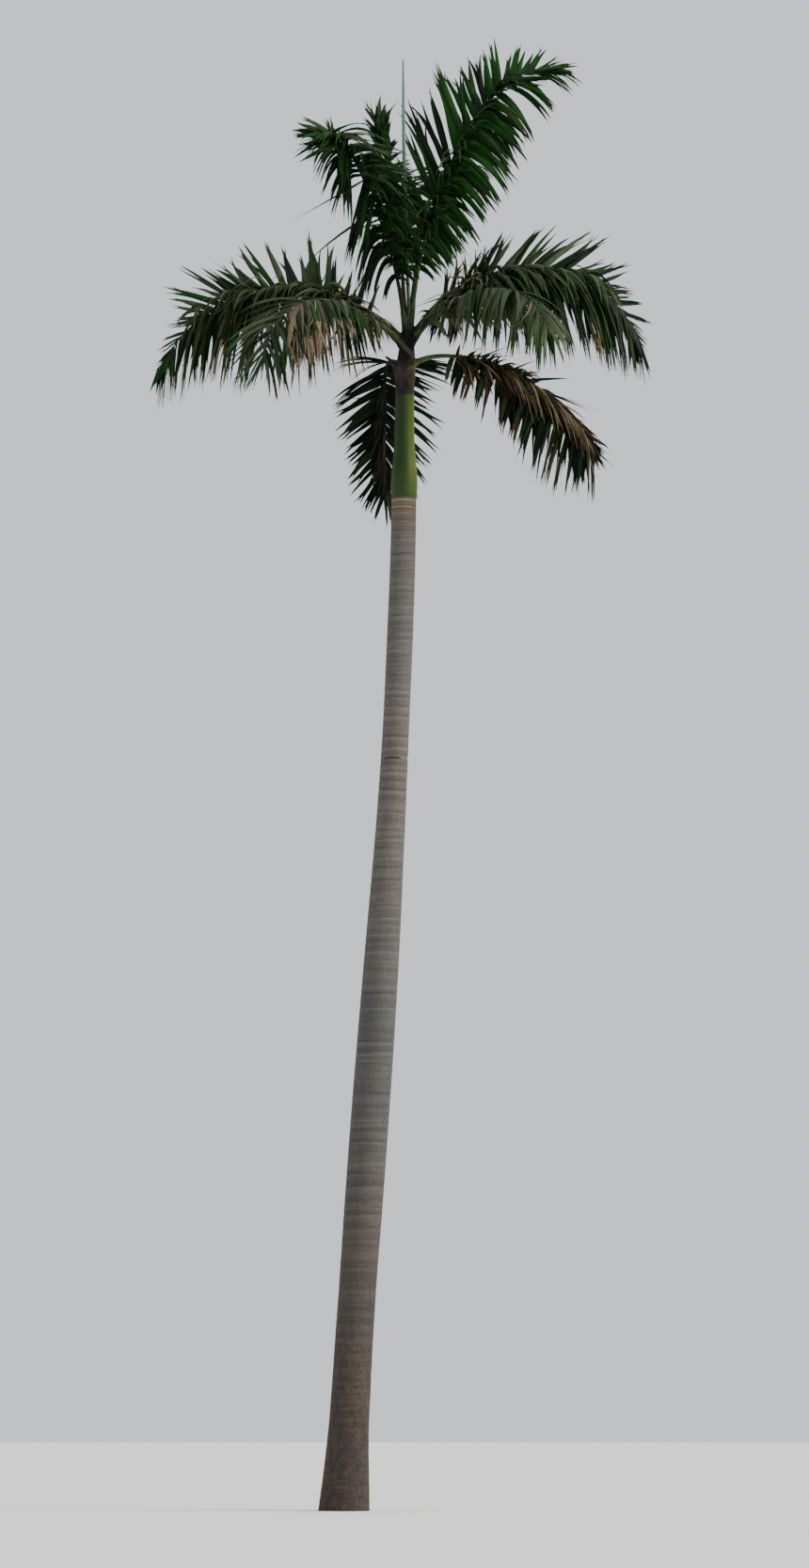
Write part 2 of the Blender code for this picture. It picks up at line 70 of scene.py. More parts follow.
# The trunk: one fibrous stem, never thickened in rings but scarred in rings, where each old leaf clasped it.
# It is grey-beige and finely ringed above, browner and pitted at the flared foot, with one open crack.
class Wire:
    """An output of a node tree. Sums on it add Math nodes, and node() adds a node of any other kind."""

    def __init__(self, tree, socket=None):
        self.tree = tree
        self.socket = socket

    def node(self, kind, settings=(), inputs=(), output=0):
        """Add a node: its settings (and a ramp's stops) first, then the values or links of its inputs."""
        made = self.tree.nodes.new(kind)
        for name, value in dict(settings).items():
            if name == "stops":
                ramp = made.color_ramp.elements
                while len(ramp) < len(value):
                    ramp.new(1.0)
                for element, (place, colour) in zip(ramp, value):
                    element.position = place
                    element.color = colour
            else:
                setattr(made, name, value)
        for name, value in dict(inputs).items():
            if isinstance(value, Wire):
                self.tree.links.new(value.socket, made.inputs[name])
            else:
                made.inputs[name].default_value = value
        return Wire(self.tree, made.outputs[output])

    def sum(self, operation, *values):
        """A Math node on this output and the values after it."""
        wired = dict(enumerate((self, *values)))
        return self.node("ShaderNodeMath", {"operation": operation}, wired)

    def __add__(self, other):
        return self.sum("ADD", other)

    def __sub__(self, other):
        return self.sum("SUBTRACT", other)

    def __mul__(self, other):
        return self.sum("MULTIPLY", other)

    def __truediv__(self, other):
        return self.sum("DIVIDE", other)

    def __pow__(self, other):
        return self.sum("POWER", other)

    def __radd__(self, other):
        return self + other

    def __rmul__(self, other):
        return self * other

    def __rsub__(self, other):
        return self * -1.0 + other

    def step(self, low, high, before=0.0, after=1.0):
        """Rise smoothly from before to after as this output goes from low to high."""
        wired = {"Value": self, "From Min": low, "From Max": high, "To Min": before, "To Max": after}
        return self.node("ShaderNodeMapRange", {"interpolation_type": "SMOOTHSTEP"}, wired)

    def fall(self, low, high):
        """Fall smoothly from 1 to 0 as this output goes from low to high."""
        return self.step(low, high, 1.0, 0.0)

    def vector(self, operation, *values, output=0):
        """A Vector Math node on this output and the values after it."""
        wired = dict(enumerate((self, *values)))
        return self.node("ShaderNodeVectorMath", {"operation": operation}, wired, output)

    def stretched(self, factor):
        """This vector times a number from the tree or a fixed one."""
        return self.node("ShaderNodeVectorMath", {"operation": "SCALE"}, {0: self, "Scale": factor})

    def axis(self, number):
        """The X, Y or Z of this vector."""
        return self.node("ShaderNodeSeparateXYZ", (), {0: self}, number)

    def noise(self, scale, detail=2.0, squeeze=1.0, shift=0.0):
        """Noise from 0 to 1 in the space of this vector, squeezed along Z alone or along each axis."""
        place = self.vector("MULTIPLY", squeeze if isinstance(squeeze, tuple) else (1.0, 1.0, squeeze))
        if shift:
            place = place.vector("ADD", (shift, shift, shift))
        wired = {"Vector": place, "Scale": scale, "Detail": detail}
        return self.node("ShaderNodeTexNoise", {"noise_dimensions": "3D"}, wired)

    def tint(self, start, end):
        """The colour between two colours that this output, from 0 to 1, picks."""
        return self.node("ShaderNodeMix", {"data_type": "RGBA"}, {0: self, 6: start, 7: end}, 2)

    def stored(self, name):
        """The number that the mesh carries under a name."""
        return self.node("ShaderNodeAttribute", {"attribute_name": name}, (), 2)


def tone(red, green, blue):
    """An opaque linear colour from the 0 to 255 numbers that a paint chart gives."""
    def linear(value):
        value /= 255
        return value / 12.92 if value <= 0.04045 else ((value + 0.055) / 1.055) ** 2.4

    return linear(red), linear(green), linear(blue), 1.0


def paint(name, colour, roughness, relief=None, depth=0.002, gloss=0.3):
    """A material whose colour, roughness and relief are made by functions of a place on the piece."""
    made = bpy.data.materials.new(name)
    made.use_nodes = True
    tree = made.node_tree
    shader = tree.nodes["Principled BSDF"]
    place = Wire(tree).node("ShaderNodeTexCoord", output=3)
    tree.links.new(colour(place).socket, shader.inputs["Base Color"])
    tree.links.new(roughness(place).socket, shader.inputs["Roughness"])
    shader.inputs["Specular IOR Level"].default_value = gloss
    if relief:
        bump = place.node("ShaderNodeBump", (), {"Height": relief(place), "Distance": depth})
        tree.links.new(bump.socket, shader.inputs["Normal"])
    return made


def shape_tree(name, **sizes):
    """A new Geometry Nodes tree with one input for each named size: the tree, its geometry and its sizes."""
    tree = bpy.data.node_groups.new(name, "GeometryNodeTree")
    kinds = {int: "NodeSocketInt", float: "NodeSocketFloat", str: "NodeSocketMaterial"}
    tree.interface.new_socket("Geometry", in_out="INPUT", socket_type="NodeSocketGeometry")
    for label, size in sizes.items():
        tree.interface.new_socket(label, in_out="INPUT", socket_type=kinds[type(size)])
    tree.interface.new_socket("Geometry", in_out="OUTPUT", socket_type="NodeSocketGeometry")
    entry = tree.nodes.new("NodeGroupInput")
    wires = {label: Wire(tree, entry.outputs[label]) for label in sizes}
    return Wire(tree, entry.outputs["Geometry"]), wires


def end_tree(shape, material):
    """Realize what the tree made, give it its material and lead it out."""
    shape = shape.node("GeometryNodeRealizeInstances", (), {0: shape})
    shape = shape.node("GeometryNodeSetMaterial", (), {"Geometry": shape, "Material": material})
    leave = shape.tree.nodes.new("NodeGroupOutput")
    shape.tree.links.new(shape.socket, leave.inputs[0])
    return shape.tree


def read_attribute(tree, name, kind="FLOAT"):
    """A named value that each point of the mesh carries."""
    return Wire(tree).node("GeometryNodeInputNamedAttribute", {"data_type": kind}, {"Name": name})


def kept(shape, name, value, kind="FLOAT"):
    """Store a value on each point of the shape under a name."""
    wired = {"Geometry": shape, "Name": name, "Value": value}
    return shape.node("GeometryNodeStoreNamedAttribute", {"data_type": kind, "domain": "POINT"}, wired)


def pushed(shape, offset):
    """Move each point of the shape by its offset."""
    return shape.node("GeometryNodeSetPosition", (), {"Geometry": shape, "Offset": offset})


def grown(name, mesh, tree, sizes):
    """Run a tree on a mesh with its named sizes and return the result as a plain object."""
    seed = placed(name, mesh)
    modifier = seed.modifiers.new("shape", "NODES")
    modifier.node_group = tree
    for item in tree.interface.items_tree:
        if item.name in sizes:
            modifier[item.identifier] = sizes[item.name]
    view = bpy.context.evaluated_depsgraph_get()
    result = bpy.data.meshes.new_from_object(seed.evaluated_get(view), depsgraph=view)
    seed.modifiers.remove(modifier)
    seed.data = result
    result.name = name
    return seed


def rings_of(node):
    """(height, radius, X of the middle) of each ring of a turned CAD piece, from the bottom up."""
    corners = np.array([v.co for v in nodes[node].data.vertices])
    levels = sorted(set(np.round(corners[:, 2], 4)))
    rings = []
    for level in levels:
        ring = corners[np.abs(corners[:, 2] - level) < 1e-4]
        low, high = ring[:, 0].min(), ring[:, 0].max()
        rings.append((level, (high - low) / 2, (high + low) / 2))
    return rings


def read_smooth(stations, at, column=1):
    """Read a column between stations along a curve with no corners."""
    if at <= stations[0][0]:
        return stations[0][column]
    if at >= stations[-1][0]:
        return stations[-1][column]
    i = next(k for k in range(len(stations) - 1) if at <= stations[k + 1][0])

    def slope(k):
        low, high = stations[max(k - 1, 0)], stations[min(k + 1, len(stations) - 1)]
        return (high[column] - low[column]) / (high[0] - low[0])

    width = stations[i + 1][0] - stations[i][0]
    t = (at - stations[i][0]) / width
    held = stations[i][column] * (1 + 2 * t) * (1 - t) ** 2 + stations[i + 1][column] * t * t * (3 - 2 * t)
    return held + width * (slope(i) * t * (1 - t) ** 2 + slope(i + 1) * t * t * (t - 1))


def round_mesh(name, corners, sides, crease):
    """A closed smooth mesh over rows of corners, with flat ends and with edges sharp above a crease angle."""
    rows = len(corners) // sides - 1
    faces = [tuple(range(sides))[::-1], tuple(range(rows * sides, (rows + 1) * sides))]
    for k in range(rows):
        for j in range(sides):
            a, b = k * sides + j, k * sides + (j + 1) % sides
            faces.append((a, b, b + sides, a + sides))
    mesh = bpy.data.meshes.new(name)
    mesh.from_pydata(corners, [], faces)
    mesh.shade_smooth()
    mesh.set_sharp_from_angle(angle=math.radians(crease))
    return mesh


def sleeve(name, rings, step, sides):
    """A closed round mesh through the rings, with rows a step apart."""
    low, high = rings[0][0], rings[-1][0]
    rows = round((high - low) / step)
    corners = []
    for k in range(rows + 1):
        z = low + (high - low) * k / rows
        radius, middle = read_smooth(rings, z, 1), read_smooth(rings, z, 2)
        for turn in np.linspace(0, 2 * math.pi, sides, endpoint=False):
            corners.append((middle + radius * math.cos(turn), radius * math.sin(turn), z))
    return round_mesh(name, corners, sides, 60)


rings_per_metre = 4.1
rings_gained = 0.71
scar_depth = 0.0030
scar_lip = 0.0016
pit_depth = 0.005
crack_height = 8.21
crack_depth = 0.007
bark_row = 0.0092
bark_sides = 62
trunk_top = 11.06
pale_rings = ((11.030, 0.75), (10.955, 0.55), (10.885, 0.25))

shape, size = shape_tree("bark_relief", Rings=1.0, Gain=1.0, Scar=1.0, Lip=1.0, Pit=1.0, Crack=1.0, Skin="")
tree = shape.tree
place = Wire(tree).node("GeometryNodeInputPosition")
height = place.axis(2)
tilt = place.noise(2.6, 1.0, 0.5) * 0.07
drift = place.noise(1.3, 1.0, (0.0, 0.0, 1.0)) * 4.0
phase = (height + tilt) * (size["Rings"] + height * size["Gain"] * 0.5) + drift
saw = phase.sum("FRACT")
foot = height.fall(0.6, 4.4)
bold = place.noise(2.4, 2.0, (0.7, 0.7, 4.5), 7.0).step(0.36, 0.66, 0.25, 1.0) * (1.0 - foot * 0.85)
scar = saw.fall(0.0, 0.20).sum("MAXIMUM", saw.step(0.84, 1.0)) * bold
lip = saw.step(0.58, 0.82) * saw.fall(0.86, 0.98) * bold
pits = place.noise(26.0, 3.0, 0.45) - 0.5
bulge = place.noise(4.0, 2.0, 0.5, 3.0) - 0.5
open_arc = place.noise(3.4, 0.0, 0.0, 1.7).step(0.36, 0.42)
crack = (height + tilt * 0.8 - crack_height).sum("ABSOLUTE").fall(0.004, 0.016) * open_arc
shape = kept(shape, "scar", scar)
shape = kept(shape, "young", saw * saw.fall(0.88, 1.0) * (1.0 - foot))
shape = kept(shape, "crack", crack)
side_on = (1.0 - height.step(trunk_top - 0.010, trunk_top - 0.004)) * height.step(0.002, 0.010)
rise = size["Lip"] * lip - size["Scar"] * scar - size["Crack"] * crack
rise = (rise + size["Pit"] * pits * (foot * 0.9 + 0.25) + 0.012 * bulge * foot) * side_on
outward = Wire(tree).node("GeometryNodeInputNormal").vector("MULTIPLY", (1.0, 1.0, 0.0)).vector("NORMALIZE")
shape = pushed(shape, outward.stretched(rise))
bark_tree = end_tree(shape, size["Skin"])


def bark_colour(place):
    """Brown at the foot, grey to beige above, with stains, dark scars and pale young rings near the top."""
    height = place.axis(2)
    stops = (
        (0.0, tone(65, 53, 43)), (0.09, tone(67, 57, 49)), (0.20, tone(72, 65, 58)), (0.38, tone(83, 79, 73)),
        (0.62, tone(89, 85, 79)), (0.97, tone(101, 93, 83)),
    )
    base = height.node("ShaderNodeValToRGB", {"stops": stops}, {0: height / trunk_top})
    foot = height.fall(0.2, 3.2)
    # Cool grey patches in the bark's own colour.
    cool_patch_and_painted_shade = place.noise(1.8, 3.0, 0.30).step(0.38, 0.66)
    base = cool_patch_and_painted_shade.tint(base, base.vector("MULTIPLY", (0.80, 0.87, 0.97)))
    moss = place.noise(4.0, 4.0, 0.25, 4.0).step(0.58, 0.76) * 0.45
    base = moss.tint(base, tone(76, 76, 56))
    grain = place.noise(44.0, 3.0, 0.10).step(0.35, 0.7) - 0.55
    speckle = place.noise(38.0, 4.0, 0.9, 5.0).step(0.36, 0.64) - 0.5
    base = base.stretched(1.0 + grain * (0.14 - foot * 0.06) + speckle * (0.10 + foot * 0.34))
    young = place.stored("young")
    base = base.stretched(young.step(0.15, 1.0, 0.93, 1.12))
    band = place.noise(2.2, 3.0, (0.5, 0.5, 9.0), 6.0).step(0.40, 0.62, 0.84, 1.10)
    base = base.stretched(band)
    blotch = place.noise(16.0, 4.0, 0.6, 2.0).step(0.42, 0.62, 0.0, 0.55) * foot
    base = blotch.tint(base, tone(40, 35, 34))
    fleck = place.noise(60.0, 2.0, 0.9, 9.0).step(0.60, 0.72, 0.0, 0.26) * foot
    base = fleck.tint(base, tone(104, 92, 80))
    scar = place.stored("scar")
    base = (scar * 0.48).tint(base, tone(56, 51, 49))
    fresh = (height + place.noise(5.0, 2.0, 0.3) * 0.3).step(10.80, 11.10, 0.0, 0.62)
    base = fresh.tint(base, tone(94, 78, 63))
    fine = (height * 26.0 + place.noise(2.0, 1.0) * 2.0).sum("FRACT")
    fine = fine.fall(0.0, 0.5) * height.step(9.9, 11.0, 0.0, 0.34)
    base = fine.tint(base, tone(60, 52, 45))
    worn = place.noise(5.0, 3.0, 0.4, 3.0).step(0.30, 0.60)
    wave = height + place.noise(6.0, 1.0) * 0.022 - 0.011
    for ring_height, strength in pale_rings:
        pale = (wave - ring_height).sum("ABSOLUTE").step(0.002, 0.010, strength, 0.0)
        base = (pale * worn).tint(base, tone(152, 134, 112))
    crack = place.stored("crack")
    return (crack * 0.9).tint(base, tone(20, 18, 17))


bark = paint(
    "bark", bark_colour,
    lambda place: place.noise(30.0).step(0.3, 0.7, 0.78, 0.96),
    lambda place: place.noise(120.0, 4.0, 0.3), 0.003,
)
trunk_sizes = {
    "Rings": rings_per_metre, "Gain": rings_gained, "Scar": scar_depth, "Lip": scar_lip, "Pit": pit_depth,
    "Crack": crack_depth, "Skin": bark,
}
trunk_shape = sleeve("trunk_bark", rings_of("trunk"), bark_row, bark_sides)
trunk = grown("trunk_bark", trunk_shape, bark_tree, trunk_sizes)
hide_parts("trunk")
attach(trunk, "root")


# The crownshaft: the tubular bases of the living leaves, wrapped tight around each other into one smooth,
# waxy green column. Its outer sheath swells at the foot and has a closed seam down one side.
seam_turn = 2.2
seam_depth = 0.0035
flute_depth = 0.0009
sheath_row = 0.012
sheath_sides = 72
sheath_top = 12.34

shape, size = shape_tree("sheath_relief", Seam=1.0, Flute=1.0, Skin="")
tree = shape.tree
place = Wire(tree).node("GeometryNodeInputPosition")
normal = Wire(tree).node("GeometryNodeInputNormal")
turn = normal.axis(1).sum("ARCTAN2", normal.axis(0))
swing = place.noise(1.1, 1.0, (0.0, 0.0, 1.0)) * 0.5
seam = (turn - seam_turn + swing).sum("ABSOLUTE").fall(0.02, 0.09)
flutes = place.noise(22.0, 2.0, 0.05) - 0.5
height = place.axis(2)
ends = height.step(trunk_top + 0.002, trunk_top + 0.015) * height.fall(sheath_top - 0.015, sheath_top - 0.002)
rise = (size["Flute"] * flutes * 2.0 - size["Seam"] * seam) * ends
shape = kept(shape, "seam", seam)
shape = pushed(shape, normal.stretched(rise))
sheath_tree = end_tree(shape, size["Skin"])


def scurf_coat(place):
    """Purple-brown scurf, browner to the right and dotted there with tan flakes."""
    patch = place.noise(8.0, 4.0, 0.6, 3.0).step(0.32, 0.66)
    cold = patch.tint(tone(24, 21, 20), tone(56, 51, 50))
    warm = patch.tint(tone(26, 21, 16), tone(58, 45, 33))
    right = (place.axis(0) + place.noise(6.0, 3.0) * 0.08).step(0.67, 0.76)
    base = right.tint(cold, warm)
    dots = place.noise(75.0, 3.0, 0.8, 8.0).step(0.58, 0.68) * (right * 0.55 + 0.12)
    return dots.tint(base, tone(112, 88, 66))


def shaft_colour(place):
    """Yellow-green wax with painted shade turning its left side deep green, browned at the foot's edge and
    scurfy brown-purple at the top.
    """
    height = place.axis(2)
    fresh = place.noise(3.0, 2.0, 0.25).step(0.35, 0.65)
    base = fresh.tint(tone(66, 84, 14), tone(86, 102, 20))
    streak = place.noise(60.0, 3.0, 0.03).step(0.35, 0.7, 0.88, 1.07)
    base = base.stretched(streak)
    # Painted shade: the side away from the light, on the left, is darkened to deep green.
    cool_patch_and_painted_shade = place.axis(0).step(0.63, 0.775, 0.95, 0.0)
    base = cool_patch_and_painted_shade.tint(base, tone(28, 48, 17))
    swell = height.step(11.20, 11.50, 0.45, 0.0)
    base = swell.tint(base, tone(46, 66, 20))
    edge = height.step(11.070, 11.13, 0.65, 0.0)
    base = edge.tint(base, tone(44, 56, 28))
    climb = height + place.noise(16.0, 3.0, 0.5, 5.0) * 0.10
    base = climb.step(12.235, 12.285).tint(base, scurf_coat(place))
    seam = place.stored("seam")
    return (seam * 0.6).tint(base, tone(36, 42, 22))


def shaft_roughness(place):
    """Waxy below and dull where the scurf begins."""
    return place.noise(9.0, 2.0, 0.3).step(0.3, 0.7, 0.38, 0.56) + place.axis(2).step(12.2, 12.27) * 0.28


shaft_skin = paint(
    "crownshaft_skin", shaft_colour, shaft_roughness,
    lambda place: place.noise(70.0, 2.0, 0.08), 0.0010, gloss=0.2,
)
shaft_shape = sleeve("crownshaft_sheath", rings_of("crownshaft"), sheath_row, sheath_sides)
shaft_sizes = {"Seam": seam_depth, "Flute": flute_depth, "Skin": shaft_skin}
shaft = grown("crownshaft_sheath", shaft_shape, sheath_tree, shaft_sizes)
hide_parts("crownshaft")
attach(shaft, "root")


# The heart: where the sheaths end and the leaf stalks leave, brown and purple with scurf over green. Each
# stalk's foot clasps the stem, so the feet run down into the heart as ridges and melt into one another.

# A frond has the height of its foot and its distance from the stem's axis, its stalk's radius, its length,
# its azimuth and pitch along it, the share and radius of its sheath, the share where its leaflets start, its
# longest leaflet, and how its right and left rows stand. A row changes from its base to its tip.
Frond = namedtuple("Frond", "name height foot stalk length azimuth pitch sheath first leaf right left")
Row = namedtuple("Row", "base_lift tip_lift droop opening base_size tip_size")
FRONDS = (
    Frond("upper_right", 12.80, 0.030, 0.023, 3.84, ((0, 20), (1, 16)),
          ((0, 86), (0.35, 75), (0.58, 63), (0.75, 54), (0.88, 30), (1, 2)),
          (0.10, 0.034), 0.27, 0.78,
          Row(-72, -45, 1.2, 1.3, 1.0, 1.1), Row(70, 45, 0.1, 1.0, 1.1, 0.88)),
    Frond("upper_left", 12.80, 0.030, 0.023, 2.56, ((0, 232), (0.83, 232), (1, 200)),
          ((0, 86), (0.33, 66), (0.77, 49), (0.94, 40), (1, 16)),
          (0.13, 0.034), 0.27, 0.78,
          Row(-50, 5, 3.0, 1.0, 0.72, 0.9), Row(0, 0, 1.9, 1.0, 0.8, 1.05)),
    Frond("upper_back", 12.80, 0.030, 0.023, 2.90, ((0, 116), (1, 110)),
          ((0, 86), (0.4, 77), (0.8, 60), (1, 52)),
          (0.12, 0.034), 0.28, 0.66,
          Row(15, 25, 0.5, 0.8, 0.85, 0.7), Row(15, 25, 0.3, 0.8, 1.0, 0.85)),
    Frond("upper_back_right", 12.80, 0.030, 0.023, 2.85, ((0, 62), (1, 56)),
          ((0, 82), (0.4, 72), (0.75, 44), (1, 0)),
          (0.13, 0.034), 0.30, 0.80,
          Row(-15, 0, 1.6, 1.0, 0.75, 1.0), Row(10, 5, 0.9, 1.0, 0.9, 1.0)),
    Frond("left", 12.74, 0.0, 0.031, 3.40, ((0, 163), (1, 163)),
          ((0, 54), (0.3, 17), (0.65, -14), (1, -66)),
          (0.078, 0.064), 0.16, 0.82,
          Row(64, 44, 0.1, 0.9, 1.1, 1.05), Row(-60, -45, 2.6, 1.05, 1.6, 1.0)),
    Frond("left_front", 12.72, 0.0, 0.030, 2.68, ((0, 213), (0.5, 224), (0.83, 238), (1, 251)),
          ((0, 40), (0.39, 8), (0.72, -37), (1, -70)),
          (0.078, 0.055), 0.18, 0.84,
          Row(5, 0, 1.6, 1.0, 1.0, 1.15), Row(-10, 0, 1.6, 1.0, 1.1, 1.15)),
    Frond("right", 12.74, 0.0, 0.031, 3.32, ((0, 16), (1, 16)),
          ((0, 63), (0.3, 28), (0.65, -9), (1, -68)),
          (0.078, 0.064), 0.15, 0.82,
          Row(-55, -40, 2.6, 1.05, 1.15, 1.0), Row(64, 50, 0.1, 0.64, 1.3, 1.05)),
    Frond("right_front", 12.71, 0.0, 0.030, 2.42, ((0, -38), (0.57, -38), (1, -62)),
          ((0, 50), (0.45, 11), (0.8, -32), (1, -62)),
          (0.080, 0.055), 0.18, 0.78,
          Row(0, 0, 1.4, 1.0, 0.85, 1.0), Row(5, 0, 1.6, 1.0, 0.9, 1.1)),
    Frond("lower_right", 12.43, 0.0, 0.027, 2.62, ((0, -6), (1, -14)),
          ((0, 76), (0.03, 50), (0.09, 20), (0.2, -2), (0.4, -20), (0.7, -42), (1, -64)),
          (0.072, 0.055), 0.20, 0.78,
          Row(-75, -50, 1.6, 1.3, 0.9, 1.36), Row(30, 25, 0.3, 0.8, 0.85, 0.85)),
    Frond("hanging_back", 12.44, 0.045, 0.026, 1.95, ((0, 140), (0.1, 112), (1, 104)),
          ((0, 62), (0.09, 34), (0.18, 0), (0.28, -66), (0.4, -90), (1, -91)),
          (0.090, 0.050), 0.14, 0.68,
          Row(5, 5, 0.2, 0.95, 1.2, 0.9), Row(5, 5, 0.2, 0.9, 1.4, 0.9)),
)
stem_line = [(z, middle) for z, _, middle in rings_of("trunk") + rings_of("crownshaft")[1:]]
stem_line += [(12.98, 0.695), (13.6, 0.720)]  # through the heart and into the spear
rib_steps = 48
rib_radii = ((0.0, 1.0), (0.2, 0.70), (0.5, 0.42), (0.8, 0.24), (1.0, 0.14))


def read(stations, at):
    """Read a value between (place, value) stations along straight lines, or one that holds all along."""
    if not isinstance(stations, tuple):
        return stations
    return float(np.interp(at, [s[0] for s in stations], [s[1] for s in stations]))


class Rib:
    """The midrib of one frond, walked from the stem in short steps along its azimuth and pitch."""

    def __init__(self, frond):
        self.frond = frond
        turn = math.radians(read(frond.azimuth, 0.0))
        start = Vector((read_smooth(stem_line, frond.height), 0.0, frond.height))
        self.points = [start + frond.foot * Vector((math.cos(turn), math.sin(turn), 0.0))]
        for k in range(rib_steps):
            heading = self.heading((k + 0.5) / rib_steps)
            self.points.append(self.points[-1] + heading * frond.length / rib_steps)

    def heading(self, share):
        """Direction of growth at a share of the length."""
        azimuth = math.radians(read(self.frond.azimuth, share))
        pitch = math.radians(read(self.frond.pitch, share))
        level = math.cos(pitch)
        return Vector((level * math.cos(azimuth), level * math.sin(azimuth), math.sin(pitch)))

    def side(self, share):
        """Level direction to the right of the growth."""
        azimuth = math.radians(read(self.frond.azimuth, share))
        return Vector((math.sin(azimuth), -math.cos(azimuth), 0.0))

    def place(self, share):
        """Point on the rib's axis."""
        at = min(max(share, 0.0), 1.0) * rib_steps
        k = min(int(at), rib_steps - 1)
        return self.points[k].lerp(self.points[k + 1], at - k)

    def radius(self, share):
        """Radius of the stalk or rib."""
        return self.frond.stalk * read_smooth(rib_radii, share)


def rod(points, radii, sides=16):
    """A round closed mesh along the points."""
    curve = bpy.data.curves.new("rod", "CURVE")
    curve.dimensions = "3D"
    curve.bevel_depth = 1.0
    curve.bevel_resolution = sides // 4 - 1
    curve.use_fill_caps = True
    spline = curve.splines.new("POLY")
    spline.points.add(len(points) - 1)
    for target, point, radius in zip(spline.points, points, radii):
        target.co = (*point, 1.0)
        target.radius = radius
    holder = placed("rod", curve)
    view = bpy.context.evaluated_depsgraph_get()
    mesh = bpy.data.meshes.new_from_object(holder.evaluated_get(view))
    bpy.data.objects.remove(holder)
    return mesh


ribs = {frond.name: Rib(frond) for frond in FRONDS}
heart_radii = (
    (12.28, 0.098), (12.34, 0.107), (12.46, 0.111), (12.58, 0.104), (12.72, 0.086), (12.86, 0.074),
    (12.98, 0.062),
)
stalk_swell = ((0.0, 1.55), (0.25, 1.35), (0.5, 1.15), (1.0, 1.05))
spear_foot_height = 13.16
spear_foot = Vector((read_smooth(stem_line, spear_foot_height), 0.0, spear_foot_height))

# Ridges that run from a stalk's foot down the heart: the frond, the share of its sheath where the ridge ends,
# the ridge's radii and its path. After them come two edges of torn and dried sheath.
clasps = (
    ("left", 0.9, (0.020, 0.030, 0.038, 0.040),
     ((0.782, -0.066, 12.54), (0.730, -0.092, 12.62), (0.655, -0.092, 12.74), (0.585, -0.060, 12.86))),
    ("left_front", 0.9, (0.022, 0.030, 0.032, 0.030),
     ((0.600, -0.088, 12.42), (0.600, -0.094, 12.52), (0.615, -0.090, 12.62), (0.630, -0.086, 12.70))),
    ("right", 0.9, (0.020, 0.030, 0.036, 0.038),
     ((0.716, -0.076, 12.72), (0.730, -0.072, 12.80), (0.755, -0.050, 12.88), (0.780, -0.030, 12.94))),
    ("right_front", 0.9, (0.022, 0.030, 0.032, 0.032),
     ((0.690, -0.106, 12.44), (0.700, -0.104, 12.54), (0.715, -0.096, 12.62), (0.725, -0.086, 12.70))),
)
torn_corner = ((0.585, -0.040, 12.30), (0.578, -0.056, 12.42), (0.550, -0.062, 12.52), (0.498, -0.060, 12.59),
               (0.446, -0.056, 12.632))
sheath_rim = ((0.640, -0.104, 12.42), (0.715, -0.108, 12.48), (0.780, -0.082, 12.56), (0.826, -0.030, 12.60))
voxel = 0.007
foot_steps = 12
sheath_tail = 0.05
core_row = 0.02
core_sides = 32


def stalk_radius(rib, share):
    """Radius of a real stalk: stouter than the plain solid at its foot, where it clasps the stem."""
    start = rib.frond.sheath[0]
    return rib.radius(share) * read(stalk_swell, (share - start) / (1 - start))


ring_line = [(z, r, read_smooth(stem_line, z)) for z, r in heart_radii]
lumps = [sleeve("heart", ring_line, core_row, core_sides)]
for rib in ribs.values():
    end, widest = rib.frond.sheath
    tail = end + sheath_tail
    shares = np.linspace(0.0, tail, foot_steps)
    thin = stalk_radius(rib, end)
    sizes = ((0.0, max(widest, thin * 1.25)), (end, thin * 1.06), (tail, thin * 0.40))
    lumps.append(rod([rib.place(s) for s in shares], [read(sizes, s) for s in shares]))
for owner, at, radii, path in clasps:
    joint = ribs[owner].place(ribs[owner].frond.sheath[0] * at)
    lumps.append(rod([Vector(p) for p in path] + [joint], (*radii, radii[-1])))
lumps.append(rod([Vector(p) for p in torn_corner], (0.030, 0.033, 0.029, 0.021, 0.011)))
lumps.append(rod([Vector(p) for p in sheath_rim], (0.012, 0.016, 0.016, 0.012)))
spear_sheath = (spear_foot - Vector((0.03, 0.0, 0.28)), spear_foot + Vector((0.0, 0.0, 0.03)))
lumps.append(rod(spear_sheath, (0.034, 0.020)))
bm = bmesh.new()
for lump in lumps:
    bm.from_mesh(lump)
bmesh.ops.remove_doubles(bm, verts=bm.verts, dist=1e-5)
melted = bpy.data.meshes.new("heart")
bm.to_mesh(melted)
bm.free()
lump = placed("heart", melted)
remesh = lump.modifiers.new("melt", "REMESH")
remesh.mode = "VOXEL"
remesh.voxel_size = voxel
soften = lump.modifiers.new("soften", "SMOOTH")
soften.factor = 0.5
soften.iterations = 5
view = bpy.context.evaluated_depsgraph_get()
melted = bpy.data.meshes.new_from_object(lump.evaluated_get(view))
bpy.data.objects.remove(lump)
melted.shade_smooth()


olive_ridges = (((0.50, 12.91), (0.77, 12.61), 0.036), ((0.68, 12.46), (0.82, 12.58), 0.030))


def near_line(place, start, end, width):
    """1 on the front of the heart along a line from start to end, both (X, Z), and 0 beyond its width."""
    run = Vector(end) - Vector(start)
    across = (-run.y / run.length, run.x / run.length)
    off = place.axis(0) * across[0] + place.axis(2) * across[1] - Vector(start).dot(across)
    off = off + place.noise(12.0, 3.0) * 0.016 - 0.008
    run_way = run.normalized()
    ahead = place.axis(0) * run_way.x + place.axis(2) * run_way.y - Vector(start).dot(run_way)
    ends = ahead.step(-0.03, 0.03) * ahead.fall(run.length - 0.03, run.length + 0.03)
    return off.sum("ABSOLUTE").fall(width * 0.3, width) * ends * place.axis(1).fall(-0.02, 0.02)


